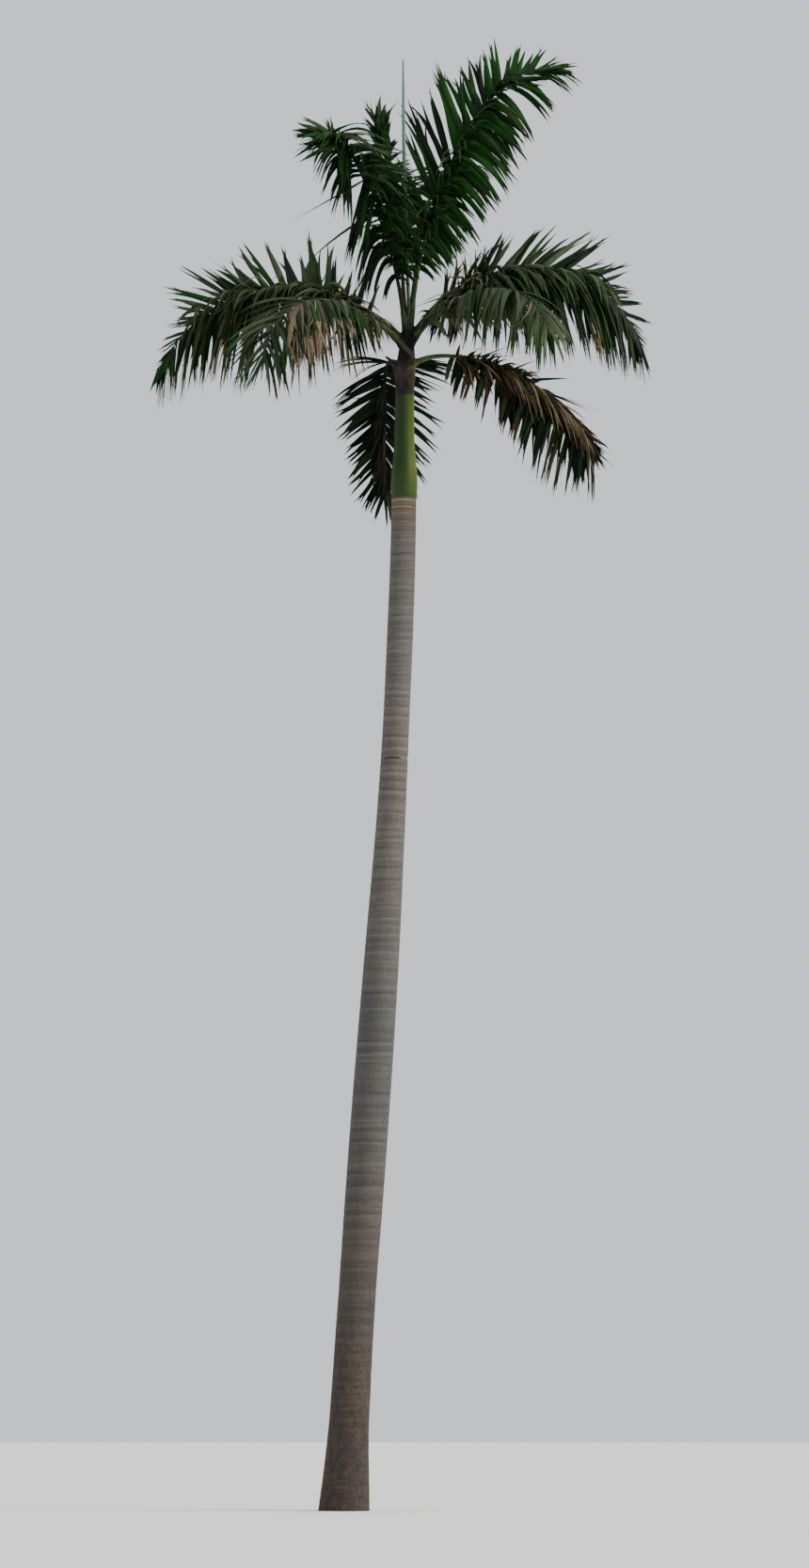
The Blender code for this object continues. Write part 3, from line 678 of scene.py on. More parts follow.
def heart_colour(place):
    """Olive feet of the stalks over hollows painted near black as shade, purple-brown scurf below and
    grey-green sheaths above.
    """
    climb = place.axis(2) + place.noise(9.0, 4.0, 0.6, 5.0) * 0.10 - 0.05
    grain = place.noise(24.0, 3.0, 0.3)
    # Painted shade: the hollows between the stalk feet are painted near black.
    hollow_and_painted_shade = grain.tint(tone(7, 9, 6), tone(22, 27, 16))
    green = grain.tint(tone(24, 32, 15), tone(52, 62, 34))
    olive = grain.tint(tone(42, 44, 24), tone(82, 80, 54))
    base = climb.step(12.56, 12.66).tint(scurf_coat(place), hollow_and_painted_shade)
    base = climb.step(12.92, 13.04).tint(base, green)
    far = (place.axis(0) - 0.69).sum("ABSOLUTE").step(0.085, 0.15) * climb.step(12.72, 12.84)
    base = far.tint(base, green)
    for start, end, width in olive_ridges:
        base = (near_line(place, start, end, width) * 0.9).tint(base, olive)
    strip = place.axis(0).step(0.735, 0.775) * place.axis(2).fall(12.50, 12.60)
    strip = strip * place.axis(2).step(12.38, 12.47)
    base = (strip * 0.75).tint(base, tone(84, 92, 40))
    stain = place.noise(40.0, 4.0, 0.5).step(0.60, 0.72, 0.0, 0.30)
    return stain.tint(base, tone(96, 74, 56))


heart_skin = paint(
    "heart_scurf", heart_colour,
    lambda place: place.noise(20.0).step(0.3, 0.7, 0.55, 0.85),
    lambda place: place.noise(90.0, 4.0, 0.4), 0.003, gloss=0.12,
)
heart = grown("heart_sheaths", melted, sheath_tree, {"Seam": 0.0, "Flute": 0.0, "Skin": heart_skin})
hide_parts("crown_heart")
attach(heart, "root")


# The spear: the next leaf, still folded, that stands straight out of the heart. It is a pale green rod of
# pleated leaflets pressed around their rib, with a fine edge that spirals up it.
spear_radii = ((0.0, 0.020), (0.35, 0.023), (0.75, 0.020), (1.0, 0.009))
spear_sway = ((0.0, 0.0), (0.3, -0.022), (0.6, -0.048), (1.0, -0.062))
spear_tip_height = 15.95
pleats = 5
pleat_depth = 0.18
spear_twist = 2.4
spear_clearance = 0.0003

spear_rows, spear_sides = 90, 30
corners = []
for k in range(spear_rows + 1):
    share = k / spear_rows
    for turn in np.linspace(0, 2 * math.pi, spear_sides, endpoint=False):
        fold = 1 - pleat_depth * abs(math.sin(pleats * (turn + spear_twist * share) / 2)) ** 0.5
        reach = read_smooth(spear_radii, share) * (fold + 0.06)
        x = spear_foot.x + read_smooth(spear_sway, share) + reach * math.cos(turn)
        z = spear_foot.z + spear_clearance + (spear_tip_height - spear_foot.z) * share
        corners.append((x, reach * math.sin(turn), z))
spear_mesh = round_mesh("spear", corners, spear_sides, 50)


def spear_colour(place):
    """Dark olive at the foot to pale blue-green at the tip, with darker lines between the pleats."""
    foot = place.axis(2).step(13.6, 14.4)
    base = foot.tint(tone(44, 52, 28), tone(50, 62, 36))
    base = place.axis(2).step(14.6, 15.1).tint(base, tone(86, 122, 110))
    line = place.noise(90.0, 2.0, 0.02).step(0.35, 0.7, 0.78, 1.10)
    return base.stretched(line)


spear_skin = paint(
    "spear_wax", spear_colour,
    lambda place: place.noise(14.0, 2.0, 0.1).step(0.3, 0.7, 0.38, 0.55),
)
spear_mesh.materials.append(spear_skin)
spear = placed("spear_pleats", spear_mesh)
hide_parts("spear_leaf")
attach(spear, "root")


# The stalks and midribs: each frond hangs on one tapering rod of tough fibre, smooth green and channelled
# above, thick where it leaves its sheath and as thin as a finger at the tip.
channel = 0.30
midrib_steps = 90
midrib_sides = 12
sunk_share = 0.004
crown_middle = (0.70, 0.0, 12.75)

shape, size = shape_tree("midrib", Sides=1, Channel=1.0, Skin="")
tree = shape.tree
line = shape.node("GeometryNodeMeshToCurve", (), {"Mesh": shape})
width = read_attribute(tree, "width")
ring = shape.node(
    "GeometryNodeCurvePrimitiveCircle", {"mode": "RADIUS"}, {"Resolution": size["Sides"], "Radius": 1.0},
)
around = Wire(tree).node("GeometryNodeInputPosition")
# The channel sunk along the top of the stalk.
hollow_and_painted_shade = around.axis(1).step(0.2, 1.0) * size["Channel"] * -1.0
dent = shape.node("ShaderNodeCombineXYZ", (), {1: hollow_and_painted_shade})
ring = pushed(ring, dent)
tube = line.node(
    "GeometryNodeCurveToMesh", (), {"Curve": line, "Profile Curve": ring, "Scale": width, "Fill Caps": True},
)
rib_tree = end_tree(tube, size["Skin"])


def stalk_colour(foot_tone_and_painted_shade, tone_and_painted_shade):
    """Green rod with brown stains, darkened by one factor at its foot and another where it carries leaflets:
    its own tone and painted shade.
    """
    def colour(place):
        patch = place.noise(3.5, 3.0).step(0.35, 0.65)
        base = patch.tint(tone(60, 82, 46), tone(102, 120, 66))
        stain = place.noise(11.0, 4.0).step(0.58, 0.72, 0.0, 0.5)
        base = stain.tint(base, tone(84, 66, 48))
        near = place.vector("SUBTRACT", crown_middle).vector("LENGTH", output=1)
        return base.stretched((near + place.noise(4.0, 2.0) * 0.3).step(0.65, 1.35, foot_tone_and_painted_shade, tone_and_painted_shade))
    return colour


# How dark each frond's stalk is at its foot and where it carries leaflets: partly its own tone, mostly
# painted shade, deepest on fronds in shadow and among the leaflets.
stalk_tones_and_painted_shades = defaultdict(
    lambda: (0.30, 0.20), upper_left=(0.09, 0.06), upper_right=(0.50, 0.14), upper_back_right=(0.38, 0.14),
    left=(0.40, 0.24), hanging_back=(0.08, 0.06), lower_right=(0.48, 0.24),
)
stalk_skins = {}
for name, rib in ribs.items():
    tone_and_painted_shade = stalk_tones_and_painted_shades[name]
    if tone_and_painted_shade not in stalk_skins:
        stalk_skins[tone_and_painted_shade] = paint(
            f"stalk_{len(stalk_skins)}", stalk_colour(*tone_and_painted_shade),
            lambda place: place.noise(16.0).step(0.3, 0.7, 0.45, 0.65), gloss=0.12,
        )
    start = rib.frond.sheath[0] - sunk_share
    shares = [start + (1.0 - start) * k / midrib_steps for k in range(midrib_steps + 1)]
    line_mesh = bpy.data.meshes.new("line")
    line_mesh.from_pydata([rib.place(s) for s in shares], [(k, k + 1) for k in range(midrib_steps)], [])
    widths = line_mesh.attributes.new("width", "FLOAT", "POINT")
    widths.data.foreach_set("value", [stalk_radius(rib, s) for s in shares])
    rod_piece = grown(
        f"frond_{name}_midrib", line_mesh, rib_tree,
        {"Sides": midrib_sides, "Channel": channel, "Skin": stalk_skins[tone_and_painted_shade]},
    )
    rod_piece.data.shade_smooth()
    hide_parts(f"frond_{name}_stalk")
    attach(rod_piece, "root")


# The leaflets: long pleated straps of thin tough leaf that leave the midrib in small groups, at several
# angles, and hang under their own weight. They are grown by the same rule as the coarse ones of the solids,
# about three times as many, and each frond has its own green and its own share of greying and dry ones.
leaflet_spacing = 0.023
rank_lift = 8
group_lift, own_lift = 12, 6.5
group_spread, own_spread = 6.5, 2.6
pinch = 2.4
crowding = 0.42
length_scatter = 0.15
half_width = 0.031
row_stagger = 0.22
bare_end = 0.022
row_lead = 0.012
mean_droop, droop_scatter = 1.08, 0.22
width_scatter = 0.18
leaflet_spread = ((0.0, 80), (0.3, 64), (0.7, 50), (0.9, 38), (1.0, 17))
leaflet_lengths = ((0.0, 0.45), (0.12, 0.78), (0.3, 1.0), (0.7, 0.95), (0.9, 0.75), (1.0, 0.55))
leaflet_widths = ((0.0, 0.70), (0.3, 1.0), (0.6, 0.95), (0.85, 0.75), (1.0, 0.55))
leaf_sections = 8
leaf_fold = 0.34
leaf_thickness = 0.0016
widening = 0.16
root_width = 0.50
taper, bluntness = 1.7, 0.92
least_half_width = 0.0006
ripples = 17.0

shape, size = shape_tree("leaflets", Sections=1, Fold=1.0, Thickness=1.0, Skin="")
tree = shape.tree
strap = shape.node(
    "GeometryNodeMeshCylinder", {"fill_type": "NGON"},
    {"Vertices": 4, "Side Segments": size["Sections"], "Radius": 1.0, "Depth": 1.0},
)
here = Wire(tree).node("GeometryNodeInputPosition")
strap = kept(strap, "on_strap", here, "FLOAT_VECTOR")
leaves = shape.node(
    "GeometryNodeInstanceOnPoints", (), {"Points": shape, "Instance": strap, "Scale": (0.0, 0.0, 0.0)},
)
leaves = leaves.node("GeometryNodeRealizeInstances", (), {0: leaves})
on_strap = read_attribute(tree, "on_strap", "FLOAT_VECTOR")
first_aim = read_attribute(tree, "aim", "FLOAT_VECTOR")
face = read_attribute(tree, "face", "FLOAT_VECTOR")
bend = read_attribute(tree, "bend", "FLOAT_VECTOR")
curl = read_attribute(tree, "curl", "FLOAT_VECTOR")
span, broad, twist, ripple = (read_attribute(tree, n) for n in ("span", "broad", "twist", "ripple"))
cut_from, cut_to = read_attribute(tree, "cut_from"), read_attribute(tree, "cut_to")
share = cut_from + (cut_to - cut_from) * (on_strap.axis(2) + 0.5)


def aim_at(share):
    """Direction of a leaflet at a share of its length, which drops with the share and curls near the tip."""
    leaning = first_aim.vector("ADD", bend.stretched(share)).vector("ADD", curl.stretched(share ** 3.0))
    return leaning.vector("NORMALIZE")


# The way from the root to a share of the length is the mean of the direction there, taken at three places.
run = aim_at(share * 0.1127).stretched(5 / 18)
run = run.vector("ADD", aim_at(share * 0.5).stretched(8 / 18))
run = run.vector("ADD", aim_at(share * 0.8873).stretched(5 / 18))
spine = run.stretched(share * span)
aim = aim_at(share)
leaning = aim.stretched(face.vector("DOT_PRODUCT", aim, output=1))
upright = face.vector("SUBTRACT", leaning).vector("NORMALIZE")
upright = upright.node(
    "ShaderNodeVectorRotate", {"rotation_type": "AXIS_ANGLE"},
    {"Vector": upright, "Axis": aim, "Angle": twist * share},
)
across = upright.vector("CROSS_PRODUCT", aim)
outline = (share / widening).sum("MINIMUM", 1.0) * (1.0 - root_width) + root_width
outline = outline * (1.0 - share ** taper).sum("MAXIMUM", 0.0) ** bluntness
wide = broad * outline + least_half_width
sideways = on_strap.axis(0)
above = on_strap.axis(1) * size["Thickness"] - sideways.sum("ABSOLUTE") * size["Fold"] * wide
above = above + ripple * (share * ripples + span * 40.0).sum("SINE") * share
moved = spine.vector("ADD", across.stretched(sideways * wide)).vector("ADD", upright.stretched(above))
leaves = pushed(leaves, moved)
leaves = kept(leaves, "along", share)
leaf_tree = end_tree(leaves, size["Skin"])


def leaf_skin(name, dark, light, root, rough, gloss):
    """Leaf colour between two tones, leaflet by leaflet, with painted shade darkening it toward the root, and
    finely streaked.
    """
    def colour(place):
        single = place.node("ShaderNodeNewGeometry", output=8)
        patch = place.noise(2.6, 3.0).step(0.32, 0.68) * 0.5 + single * 0.5
        base = patch.tint(tone(*dark), tone(*light))
        along = place.stored("along")
        # Painted shade: each leaflet is darkened toward its root, where the frond shades it.
        base = base.stretched(along.step(0.0, 0.45, root, 1.0))
        return base.stretched(place.noise(55.0, 2.0).step(0.3, 0.7, 0.80, 1.22))

    def roughness(place):
        return place.noise(8.0).step(0.3, 0.7, rough, rough + 0.18)

    return paint(name, colour, roughness, gloss=gloss)


# Each skin: darkest and lightest tone, painted shade at the root, roughness and gloss.
skins = {
    # The darkest skin is painted shade: a near-black green for leaflets that lie in shadow.
    "night": leaf_skin("leaf_shadowed", (8, 17, 8), (17, 35, 15), 0.5, 0.46, 0.08),
    "deep": leaf_skin("leaf_deep", (8, 38, 9), (25, 70, 18), 0.5, 0.44, 0.08),
    "dusk": leaf_skin("leaf_dusk", (16, 30, 13), (34, 52, 26), 0.45, 0.46, 0.10),
    "mid": leaf_skin("leaf_mid", (26, 46, 20), (48, 70, 34), 0.45, 0.46, 0.10),
    "grey": leaf_skin("leaf_grey", (44, 60, 37), (72, 86, 56), 0.45, 0.50, 0.12),
    "olive": leaf_skin("leaf_olive", (34, 44, 18), (62, 68, 34), 0.5, 0.52, 0.10),
    "khaki": leaf_skin("leaf_khaki", (74, 68, 44), (112, 102, 72), 0.6, 0.70, 0.10),
    "straw": leaf_skin("leaf_straw", (84, 73, 58), (126, 111, 90), 0.7, 0.75, 0.10),
    "brown": leaf_skin("leaf_brown", (30, 23, 16), (60, 47, 33), 0.6, 0.80, 0.10),
}


# How each frond is dressed: the width of its leaflets, the shares of its groups that take each skin, its dead
# skin, and for its right and left row how far the leaflets reach, how they turn and sag, how many are kept,
# how many are dry whole or at their tips, how far the wind pulls them along X, and how many lie in shadow and
# take the darkest skin as painted shade
Dress = namedtuple(
    "Dress", "reach turn sag keep dry tips pull dark",
    defaults=(1, 0, 1, 1, 0, 0, 0, 0),
)
Look = namedtuple("Look", "width greens dead right left")
LOOKS = {
    "upper_right": Look(
        1.3, {"deep": 0.76, "night": 0.14, "mid": 0.10}, "straw",
        Dress(reach=((0, 0.9), (0.5, 0.93), (0.7, 0.88), (0.85, 0.9), (1, 0.75)),
              turn=((0, 12), (0.5, 12), (0.65, 12), (0.74, 6), (0.82, -10), (0.9, -32), (1, -38)),
              keep=((0, 0.85), (0.45, 0.9), (0.65, 0.65), (1, 0.65)), dry=0.01),
        Dress(reach=((0, 1.30), (0.3, 1.30), (0.5, 1.1), (0.7, 0.92), (0.85, 0.82), (1, 0.8)),
              turn=((0, -38), (0.25, -30), (0.45, -18), (0.6, -5), (0.8, 0), (1, -6)),
              keep=((0, 0.66), (0.35, 0.70), (0.6, 0.92), (1, 1)), tips=0.02),
    ),
    "upper_left": Look(
        0.8, {"night": 0.62, "deep": 0.28, "grey": 0.10}, "straw",
        Dress(reach=((0, 1.1), (0.2, 1.3), (0.4, 1.2), (0.6, 0.9), (0.8, 0.95), (1, 1.0)),
              turn=((0, -8), (0.5, -8), (0.7, 0)), sag=((0, 2.2), (0.45, 2.0), (0.7, 1.6), (0.85, 1)),
              keep=((0, 0.9), (0.25, 0.7), (0.4, 0.55), (0.6, 0.6), (0.75, 0.9), (0.85, 1)), tips=0.03),
        Dress(reach=((0, 1), (0.5, 1.15), (1, 1.05)), sag=0.8, keep=0.8, tips=0.03),
    ),
    "upper_back": Look(
        1.0, {"deep": 0.70, "night": 0.22, "mid": 0.08}, "straw",
        Dress(reach=((0, 0.76), (0.5, 0.7), (0.65, 0.5), (0.85, 0.55), (1, 0.9)),
              turn=((0, -6), (0.6, 8), (0.9, -6)), keep=0.8, tips=0.03),
        Dress(reach=((0, 0.76), (0.7, 0.7), (0.85, 0.6), (1, 0.9)), turn=-8, keep=0.8),
    ),
    "upper_back_right": Look(
        0.9, {"deep": 0.70, "olive": 0.14, "night": 0.16}, "straw",
        Dress(reach=((0, 0.85), (0.3, 0.90), (0.5, 0.72), (1, 0.6)), turn=12, tips=0.03),
        Dress(tips=0.03),
    ),
    "left": Look(
        1.0, {"dusk": 0.30, "deep": 0.08, "night": 0.04, "mid": 0.24, "grey": 0.22, "olive": 0.12}, "khaki",
        Dress(reach=((0, 0.88), (0.3, 0.85), (0.45, 0.95), (0.6, 1.05), (0.68, 0.78), (0.76, 0.52),
                     (1, 0.36)),
              turn=((0, 6), (0.3, 8), (0.42, -2), (0.55, 3), (0.68, 2), (0.8, -4), (1, -8)),
              keep=((0, 0.2), (0.08, 0.6), (0.15, 0.9)), dry=0.03, tips=0.02),
        Dress(reach=((0, 0.78), (0.12, 0.9), (0.3, 1.0), (0.45, 1.06), (1, 0.95)),
              turn=((0, 52), (0.15, 42), (0.3, 22), (0.45, 0)), sag=((0, 0.5), (0.35, 1), (0.5, 1), (1, 1.5)),
              dry=((0, 0.22), (0.6, 0.08)), tips=((0, 0.30), (0.45, 0.30), (0.6, 0.08)),
              pull=((0, 0.55), (0.3, 0.3), (0.45, 0)), dark=((0, 0.12), (0.4, 0.3), (1, 0.2))),
    ),
    "left_front": Look(
        0.8, {"mid": 0.36, "grey": 0.40, "dusk": 0.24}, "straw",
        Dress(reach=((0, 0.95), (0.5, 0.88), (0.75, 0.85), (1, 0.78)),
              turn=((0, 0), (0.5, 8), (0.8, 10), (1, 0)), sag=((0, 1), (0.45, 0.5), (1, 0.5)),
              dry=((0, 0.1), (0.5, 0.03)), tips=0.03),
        Dress(reach=((0, 0.95), (0.25, 1.0), (0.4, 1.15), (0.58, 1.1), (0.7, 0.93), (1, 0.85)),
              dry=((0, 0.2), (0.5, 0.08)), tips=((0, 0.6), (0.25, 0.7), (0.3, 1), (0.58, 1), (0.64, 0.1))),
    ),
    "right": Look(
        1.0, {"dusk": 0.46, "deep": 0.14, "night": 0.14, "mid": 0.14, "grey": 0.05, "olive": 0.07}, "khaki",
        Dress(reach=((0, 0.85), (0.2, 0.92), (0.35, 1.08), (0.5, 1.28), (0.8, 1.28), (0.9, 1.1), (1, 0.9)),
              turn=((0, 50), (0.2, 40), (0.35, 18), (0.5, 0)), sag=((0, 0.6), (0.4, 1), (0.6, 1), (1, 1.4)),
              dry=0.05, tips=0.06, pull=((0, -0.75), (0.25, -0.55), (0.45, 0)),
              dark=((0, 0.5), (0.5, 0.25), (1, 0.15))),
        Dress(reach=((0, 0.7), (0.2, 0.72), (0.35, 0.72), (0.5, 0.86), (0.7, 0.72), (0.8, 0.56),
                     (0.9, 0.5), (1, 0.4)),
              turn=((0, -8), (0.2, -10), (0.35, 2), (0.5, 4), (0.6, 8), (0.7, 18), (0.8, 24), (1, 10)),
              keep=((0, 0), (0.10, 0.4), (0.18, 1)), tips=0.02, dark=((0, 0.3), (0.65, 0.3), (0.75, 0.8))),
    ),
    "right_front": Look(
        1.1, {"mid": 0.28, "grey": 0.26, "dusk": 0.30, "olive": 0.16}, "straw",
        Dress(reach=((0, 1.0), (0.3, 1.4), (1, 1.35)), dry=((0, 0.10), (1, 0.04)), tips=0.06),
        Dress(reach=((0, 0.95), (0.6, 0.9), (1, 0.9)), dry=((0, 0.10), (1, 0.04)), tips=0.06),
    ),
    "lower_right": Look(
        1.0, {"night": 0.56, "dusk": 0.10, "olive": 0.14, "brown": 0.20}, "brown",
        Dress(reach=((0, 0.85), (0.25, 0.72), (0.45, 0.82), (0.6, 1.0), (0.8, 1.0), (1, 0.9)),
              turn=((0, 12), (0.6, 8), (0.8, 4), (1, -4)),
              keep=((0, 0.7), (0.35, 0.8), (0.45, 1)), dry=((0, 0.06), (0.4, 0.15)), tips=0.08),
        Dress(reach=((0, 0.45), (0.5, 0.4), (0.75, 0.55), (1, 0.6)), keep=((0, 0.4), (1, 0.8)), dry=0.3,
              tips=0.1),
    ),
    "hanging_back": Look(
        1.05, {"night": 0.66, "dusk": 0.24, "brown": 0.10}, "brown",
        Dress(reach=((0, 1.3), (0.15, 1.1), (0.3, 0.95), (0.5, 1.05), (1, 0.9)),
              turn=((0, 6), (0.3, 6), (0.5, -4), (0.8, -12)), dry=0.02),
        Dress(reach=((0, 1.1), (0.12, 0.95), (0.25, 0.74), (0.5, 0.74), (0.8, 0.82), (1, 0.8)),
              turn=((0, -16), (0.15, -6), (0.25, 2), (0.8, 4), (1, -4)),
              sag=((0, 3.5), (0.15, 1.6), (0.25, 1)), dry=0.02),
    ),
}

# Leaflets outside the rows: standing tufts and a fan where a frond is bent, the tangles of dry strands along
# the ridges, arching leaflets, and single long ones that the wind has pulled out of line
Tuft = namedtuple("Tuft", "shares count aim wild length droop width skins")
TUFTS = {
    "upper_right": (
        Tuft((0.84, 0.94), 26, (1.0, -0.1, 0.12), 0.13, (0.38, 0.52), 0.2, 1.2, "deep night"),
        Tuft((0.34, 0.86), 80, (0.40, -0.5, 0.30), 0.32, (0.30, 0.50), 0.9, 0.9, "deep deep mid"),
        Tuft((0.93, 1.00), 20, (1.0, -0.1, -0.10), 0.14, (0.22, 0.32), 0.2, 1.1, "deep"),
        Tuft((0.30, 0.62), 30, (-0.15, -0.8, 0.45), 0.45, (0.30, 0.52), 2.2, 0.6, "mid deep"),
    ),
    "upper_left": (
        Tuft((0.93, 1.00), 8, (-0.25, 0.0, 1.0), 0.25, (0.14, 0.27), 0.1, 0.6, "deep mid"),
        Tuft((0.82, 0.93), 10, (0.45, -0.2, 0.9), 0.45, (0.10, 0.20), 0.1, 0.7, "deep mid"),
        Tuft((0.93, 1.00), 44, (-1.0, -0.2, -0.02), 0.55, (0.36, 0.52), 0.4, 1.0, "night deep mid"),
        Tuft((0.60, 1.00), 42, (0.95, -0.35, 0.25), 0.30, (0.50, 0.80), 1.0, 1.0, "deep grey deep"),
        Tuft((0.86, 0.96), 24, (0.0, -0.15, -1.0), 0.14, (0.35, 0.60), 0.3, 1.0, "night deep"),
        Tuft((0.88, 0.94), 8, (0.05, -0.1, -1.0), 0.08, (0.75, 0.92), 0.3, 0.7, "night deep"),
        Tuft((0.42, 0.80), 36, (0.90, -0.5, -0.10), 0.30, (0.45, 0.75), 0.9, 0.9, "deep night deep"),
        Tuft((0.60, 0.76), 14, (-0.22, -0.1, -1.0), 0.1, (0.50, 0.72), 0.2, 0.8, "deep night"),
        Tuft((0.73, 0.74), 1, (-0.86, -0.15, -0.52), 0.0, (0.88, 0.89), 0.0, 0.7, "deep"),
        Tuft((0.57, 0.58), 1, (-0.90, -0.12, -0.44), 0.0, (0.96, 0.97), 0.5, 0.7, "deep"),
        Tuft((0.46, 0.47), 1, (-0.46, -0.05, -0.88), 0.0, (0.80, 0.81), 0.0, 0.8, "deep"),
    ),
    "upper_back": (
        Tuft((0.76, 0.95), 44, (0.02, -0.1, 1.0), 0.42, (0.22, 0.42), 0.1, 1.2, "deep mid deep"),
    ),
    "left": (
        Tuft((0.24, 0.58), 120, (0.0, -0.6, 0.35), 0.9, (0.18, 0.42), 2.0, 0.6, "olive grey mid khaki"),
        Tuft((0.24, 0.54), 70, (0.0, -0.4, 0.9), 0.8, (0.12, 0.27), 1.5, 0.5, "olive mid khaki olive"),
        Tuft((0.25, 0.76), 80, (-0.6, -0.5, 0.40), 0.50, (0.40, 0.70), 2.3, 0.8, "dusk mid grey olive"),
        Tuft((0.13, 0.40), 70, (0.35, -0.6, -0.35), 0.3, (0.35, 0.62), 0.9, 0.5, "khaki olive straw brown"),
        Tuft((0.54, 0.64), 8, (-0.80, 0.0, 0.56), 0.1, (0.48, 0.66), 0.0, 1.6, "mid dusk"),
        Tuft((0.22, 0.42), 14, (0.20, -0.1, 1.0), 0.35, (0.15, 0.32), 0.2, 0.8, "olive mid"),
        Tuft((0.50, 0.84), 60, (-0.14, -0.3, -1.0), 0.2, (0.50, 0.78), 0.4, 1.0, "night dusk mid"),
        Tuft((0.92, 1.00), 14, (-0.30, -0.1, -0.95), 0.20, (0.25, 0.36), 0.3, 0.9, "deep"),
    ),
    "left_front": (
        Tuft((0.46, 0.66), 70, (-0.02, -0.85, -0.5), 0.20, (0.76, 1.05), 1.3, 1.2, "straw khaki straw"),
    ),
    "right": (
        Tuft((0.31, 0.52), 80, (0.1, -0.7, 0.3), 0.9, (0.15, 0.40), 2.0, 0.5, "grey mid grey olive"),
        Tuft((0.27, 0.38), 20, (0.12, -0.1, 1.0), 0.30, (0.22, 0.46), 0.2, 0.6, "deep olive night"),
        Tuft((0.31, 0.41), 40, (0.0, -0.7, 0.2), 1.0, (0.20, 0.42), 1.5, 0.6, "straw khaki straw"),
        Tuft((0.30, 0.52), 64, (0.1, -0.4, 0.9), 0.8, (0.12, 0.27), 1.5, 0.5, "olive mid grey dusk"),
        Tuft((0.16, 0.45), 44, (-0.4, -0.6, -0.25), 0.3, (0.35, 0.60), 0.8, 0.8, "dusk night mid"),
        Tuft((0.34, 0.76), 80, (0.70, -0.5, 0.30), 0.42, (0.50, 0.78), 2.4, 0.9, "mid grey dusk grey"),
        Tuft((0.48, 0.82), 70, (0.16, -0.3, -1.0), 0.2, (0.66, 0.96), 0.4, 1.0, "night dusk night"),
        Tuft((0.80, 0.99), 30, (0.25, -0.2, -1.0), 0.25, (0.40, 0.60), 0.4, 0.9, "night dusk"),
        Tuft((0.27, 0.28), 1, (-0.93, -0.20, -0.35), 0.0, (0.58, 0.59), 0.0, 0.7, "mid"),
    ),
    "right_front": (
        Tuft((0.30, 0.78), 60, (0.30, 0.00, -0.85), 0.5, (0.30, 0.55), 1.1, 0.7, "olive grey mid khaki"),
    ),
    "lower_right": (
        Tuft((0.22, 0.88), 120, (0.55, -0.35, -0.6), 0.4, (0.25, 0.52), 0.9, 0.4, "brown straw olive khaki"),
        Tuft((0.42, 0.92), 80, (0.55, -0.9, -0.6), 0.3, (0.42, 0.72), 1.1, 0.45, "straw brown khaki brown"),
        Tuft((0.22, 0.60), 70, (0.6, -0.4, 0.25), 0.5, (0.12, 0.27), 0.9, 0.6, "brown olive brown"),
        Tuft((0.25, 0.85), 40, (0.35, -0.45, -0.8), 0.3, (0.30, 0.55), 0.6, 1.0, "brown night brown"),
        Tuft((0.42, 0.92), 60, (-0.08, -0.2, -1.0), 0.2, (0.50, 0.78), 0.3, 1.1, "night"),
        Tuft((0.85, 1.00), 18, (0.35, -0.1, -0.85), 0.35, (0.22, 0.34), 0.4, 0.8, "night"),
        Tuft((0.82, 0.98), 14, (0.85, -0.1, -0.62), 0.20, (0.22, 0.36), 0.2, 0.9, "night brown"),
        Tuft((0.31, 0.32), 1, (0.95, -0.20, 0.32), 0.0, (0.43, 0.44), 0.0, 0.5, "night"),
        Tuft((0.47, 0.48), 1, (0.93, 0.00, 0.38), 0.0, (0.34, 0.35), 0.0, 0.5, "night"),
        Tuft((0.56, 0.57), 2, (1.00, 0.00, 0.04), 0.05, (0.46, 0.50), 0.0, 0.5, "night"),
        Tuft((0.63, 0.64), 2, (0.92, 0.00, -0.36), 0.05, (0.50, 0.68), 0.0, 0.5, "night"),
    ),
    "hanging_back": (
        Tuft((0.28, 0.84), 70, (-0.16, -0.35, -1.0), 0.22, (0.34, 0.60), 0.2, 0.7, "night dusk night brown"),
        Tuft((0.10, 0.26), 20, (1.0, 0.25, 0.04), 0.14, (0.60, 0.84), 0.35, 0.8, "night"),
    ),
}

# One leaflet: its root, first direction and upper side, how it bends and curls, its length, half width, twist
# and ripple, and the stretch of it, from 0 to 1, that is made. A dry one is shorter and narrower.
Leaf = namedtuple("Leaf", "root aim face bend curl span broad twist ripple cut_from cut_to")
green_twist, green_ripple = 0.7, 0.003
green_curl, tip_curl, dry_curl = 0.28, 0.7, 1.6
dry_twist, dry_ripple = 6, 0.012
dry_length = (0.65, 0.95)
dry_width = (0.28, 0.5)
dry_from = (0.55, 0.8)
loose_face = Vector((0.2, -1.2, 0.8))
loose_ripple = 0.010
first_seed = 100

stem_radii = ((10.0, 0.14), (11.16, 0.15), (11.6, 0.12), (12.4, 0.112), (12.7, 0.09), (13.0, 0.06))
leaf_steps = 12
heart_top = 13.0
stem_gap = 0.02


def hits_stem(leaf):
    """Tell whether a leaflet would run into the trunk, the crownshaft or the heart."""
    place = leaf.root.copy()
    for k in range(leaf_steps):
        share = k / leaf_steps
        aim = (leaf.aim + leaf.bend * share + leaf.curl * share ** 3).normalized()
        place += aim * leaf.span / leaf_steps
        off = Vector((place.x - read_smooth(stem_line, place.z), place.y))
        if place.z < heart_top and off.length < read(stem_radii, place.z) + stem_gap:
            return True
    return False


def wild_vector(dice):
    """A random vector of up to 1 along each axis."""
    return Vector([dice.uniform(-1, 1) for _ in range(3)])


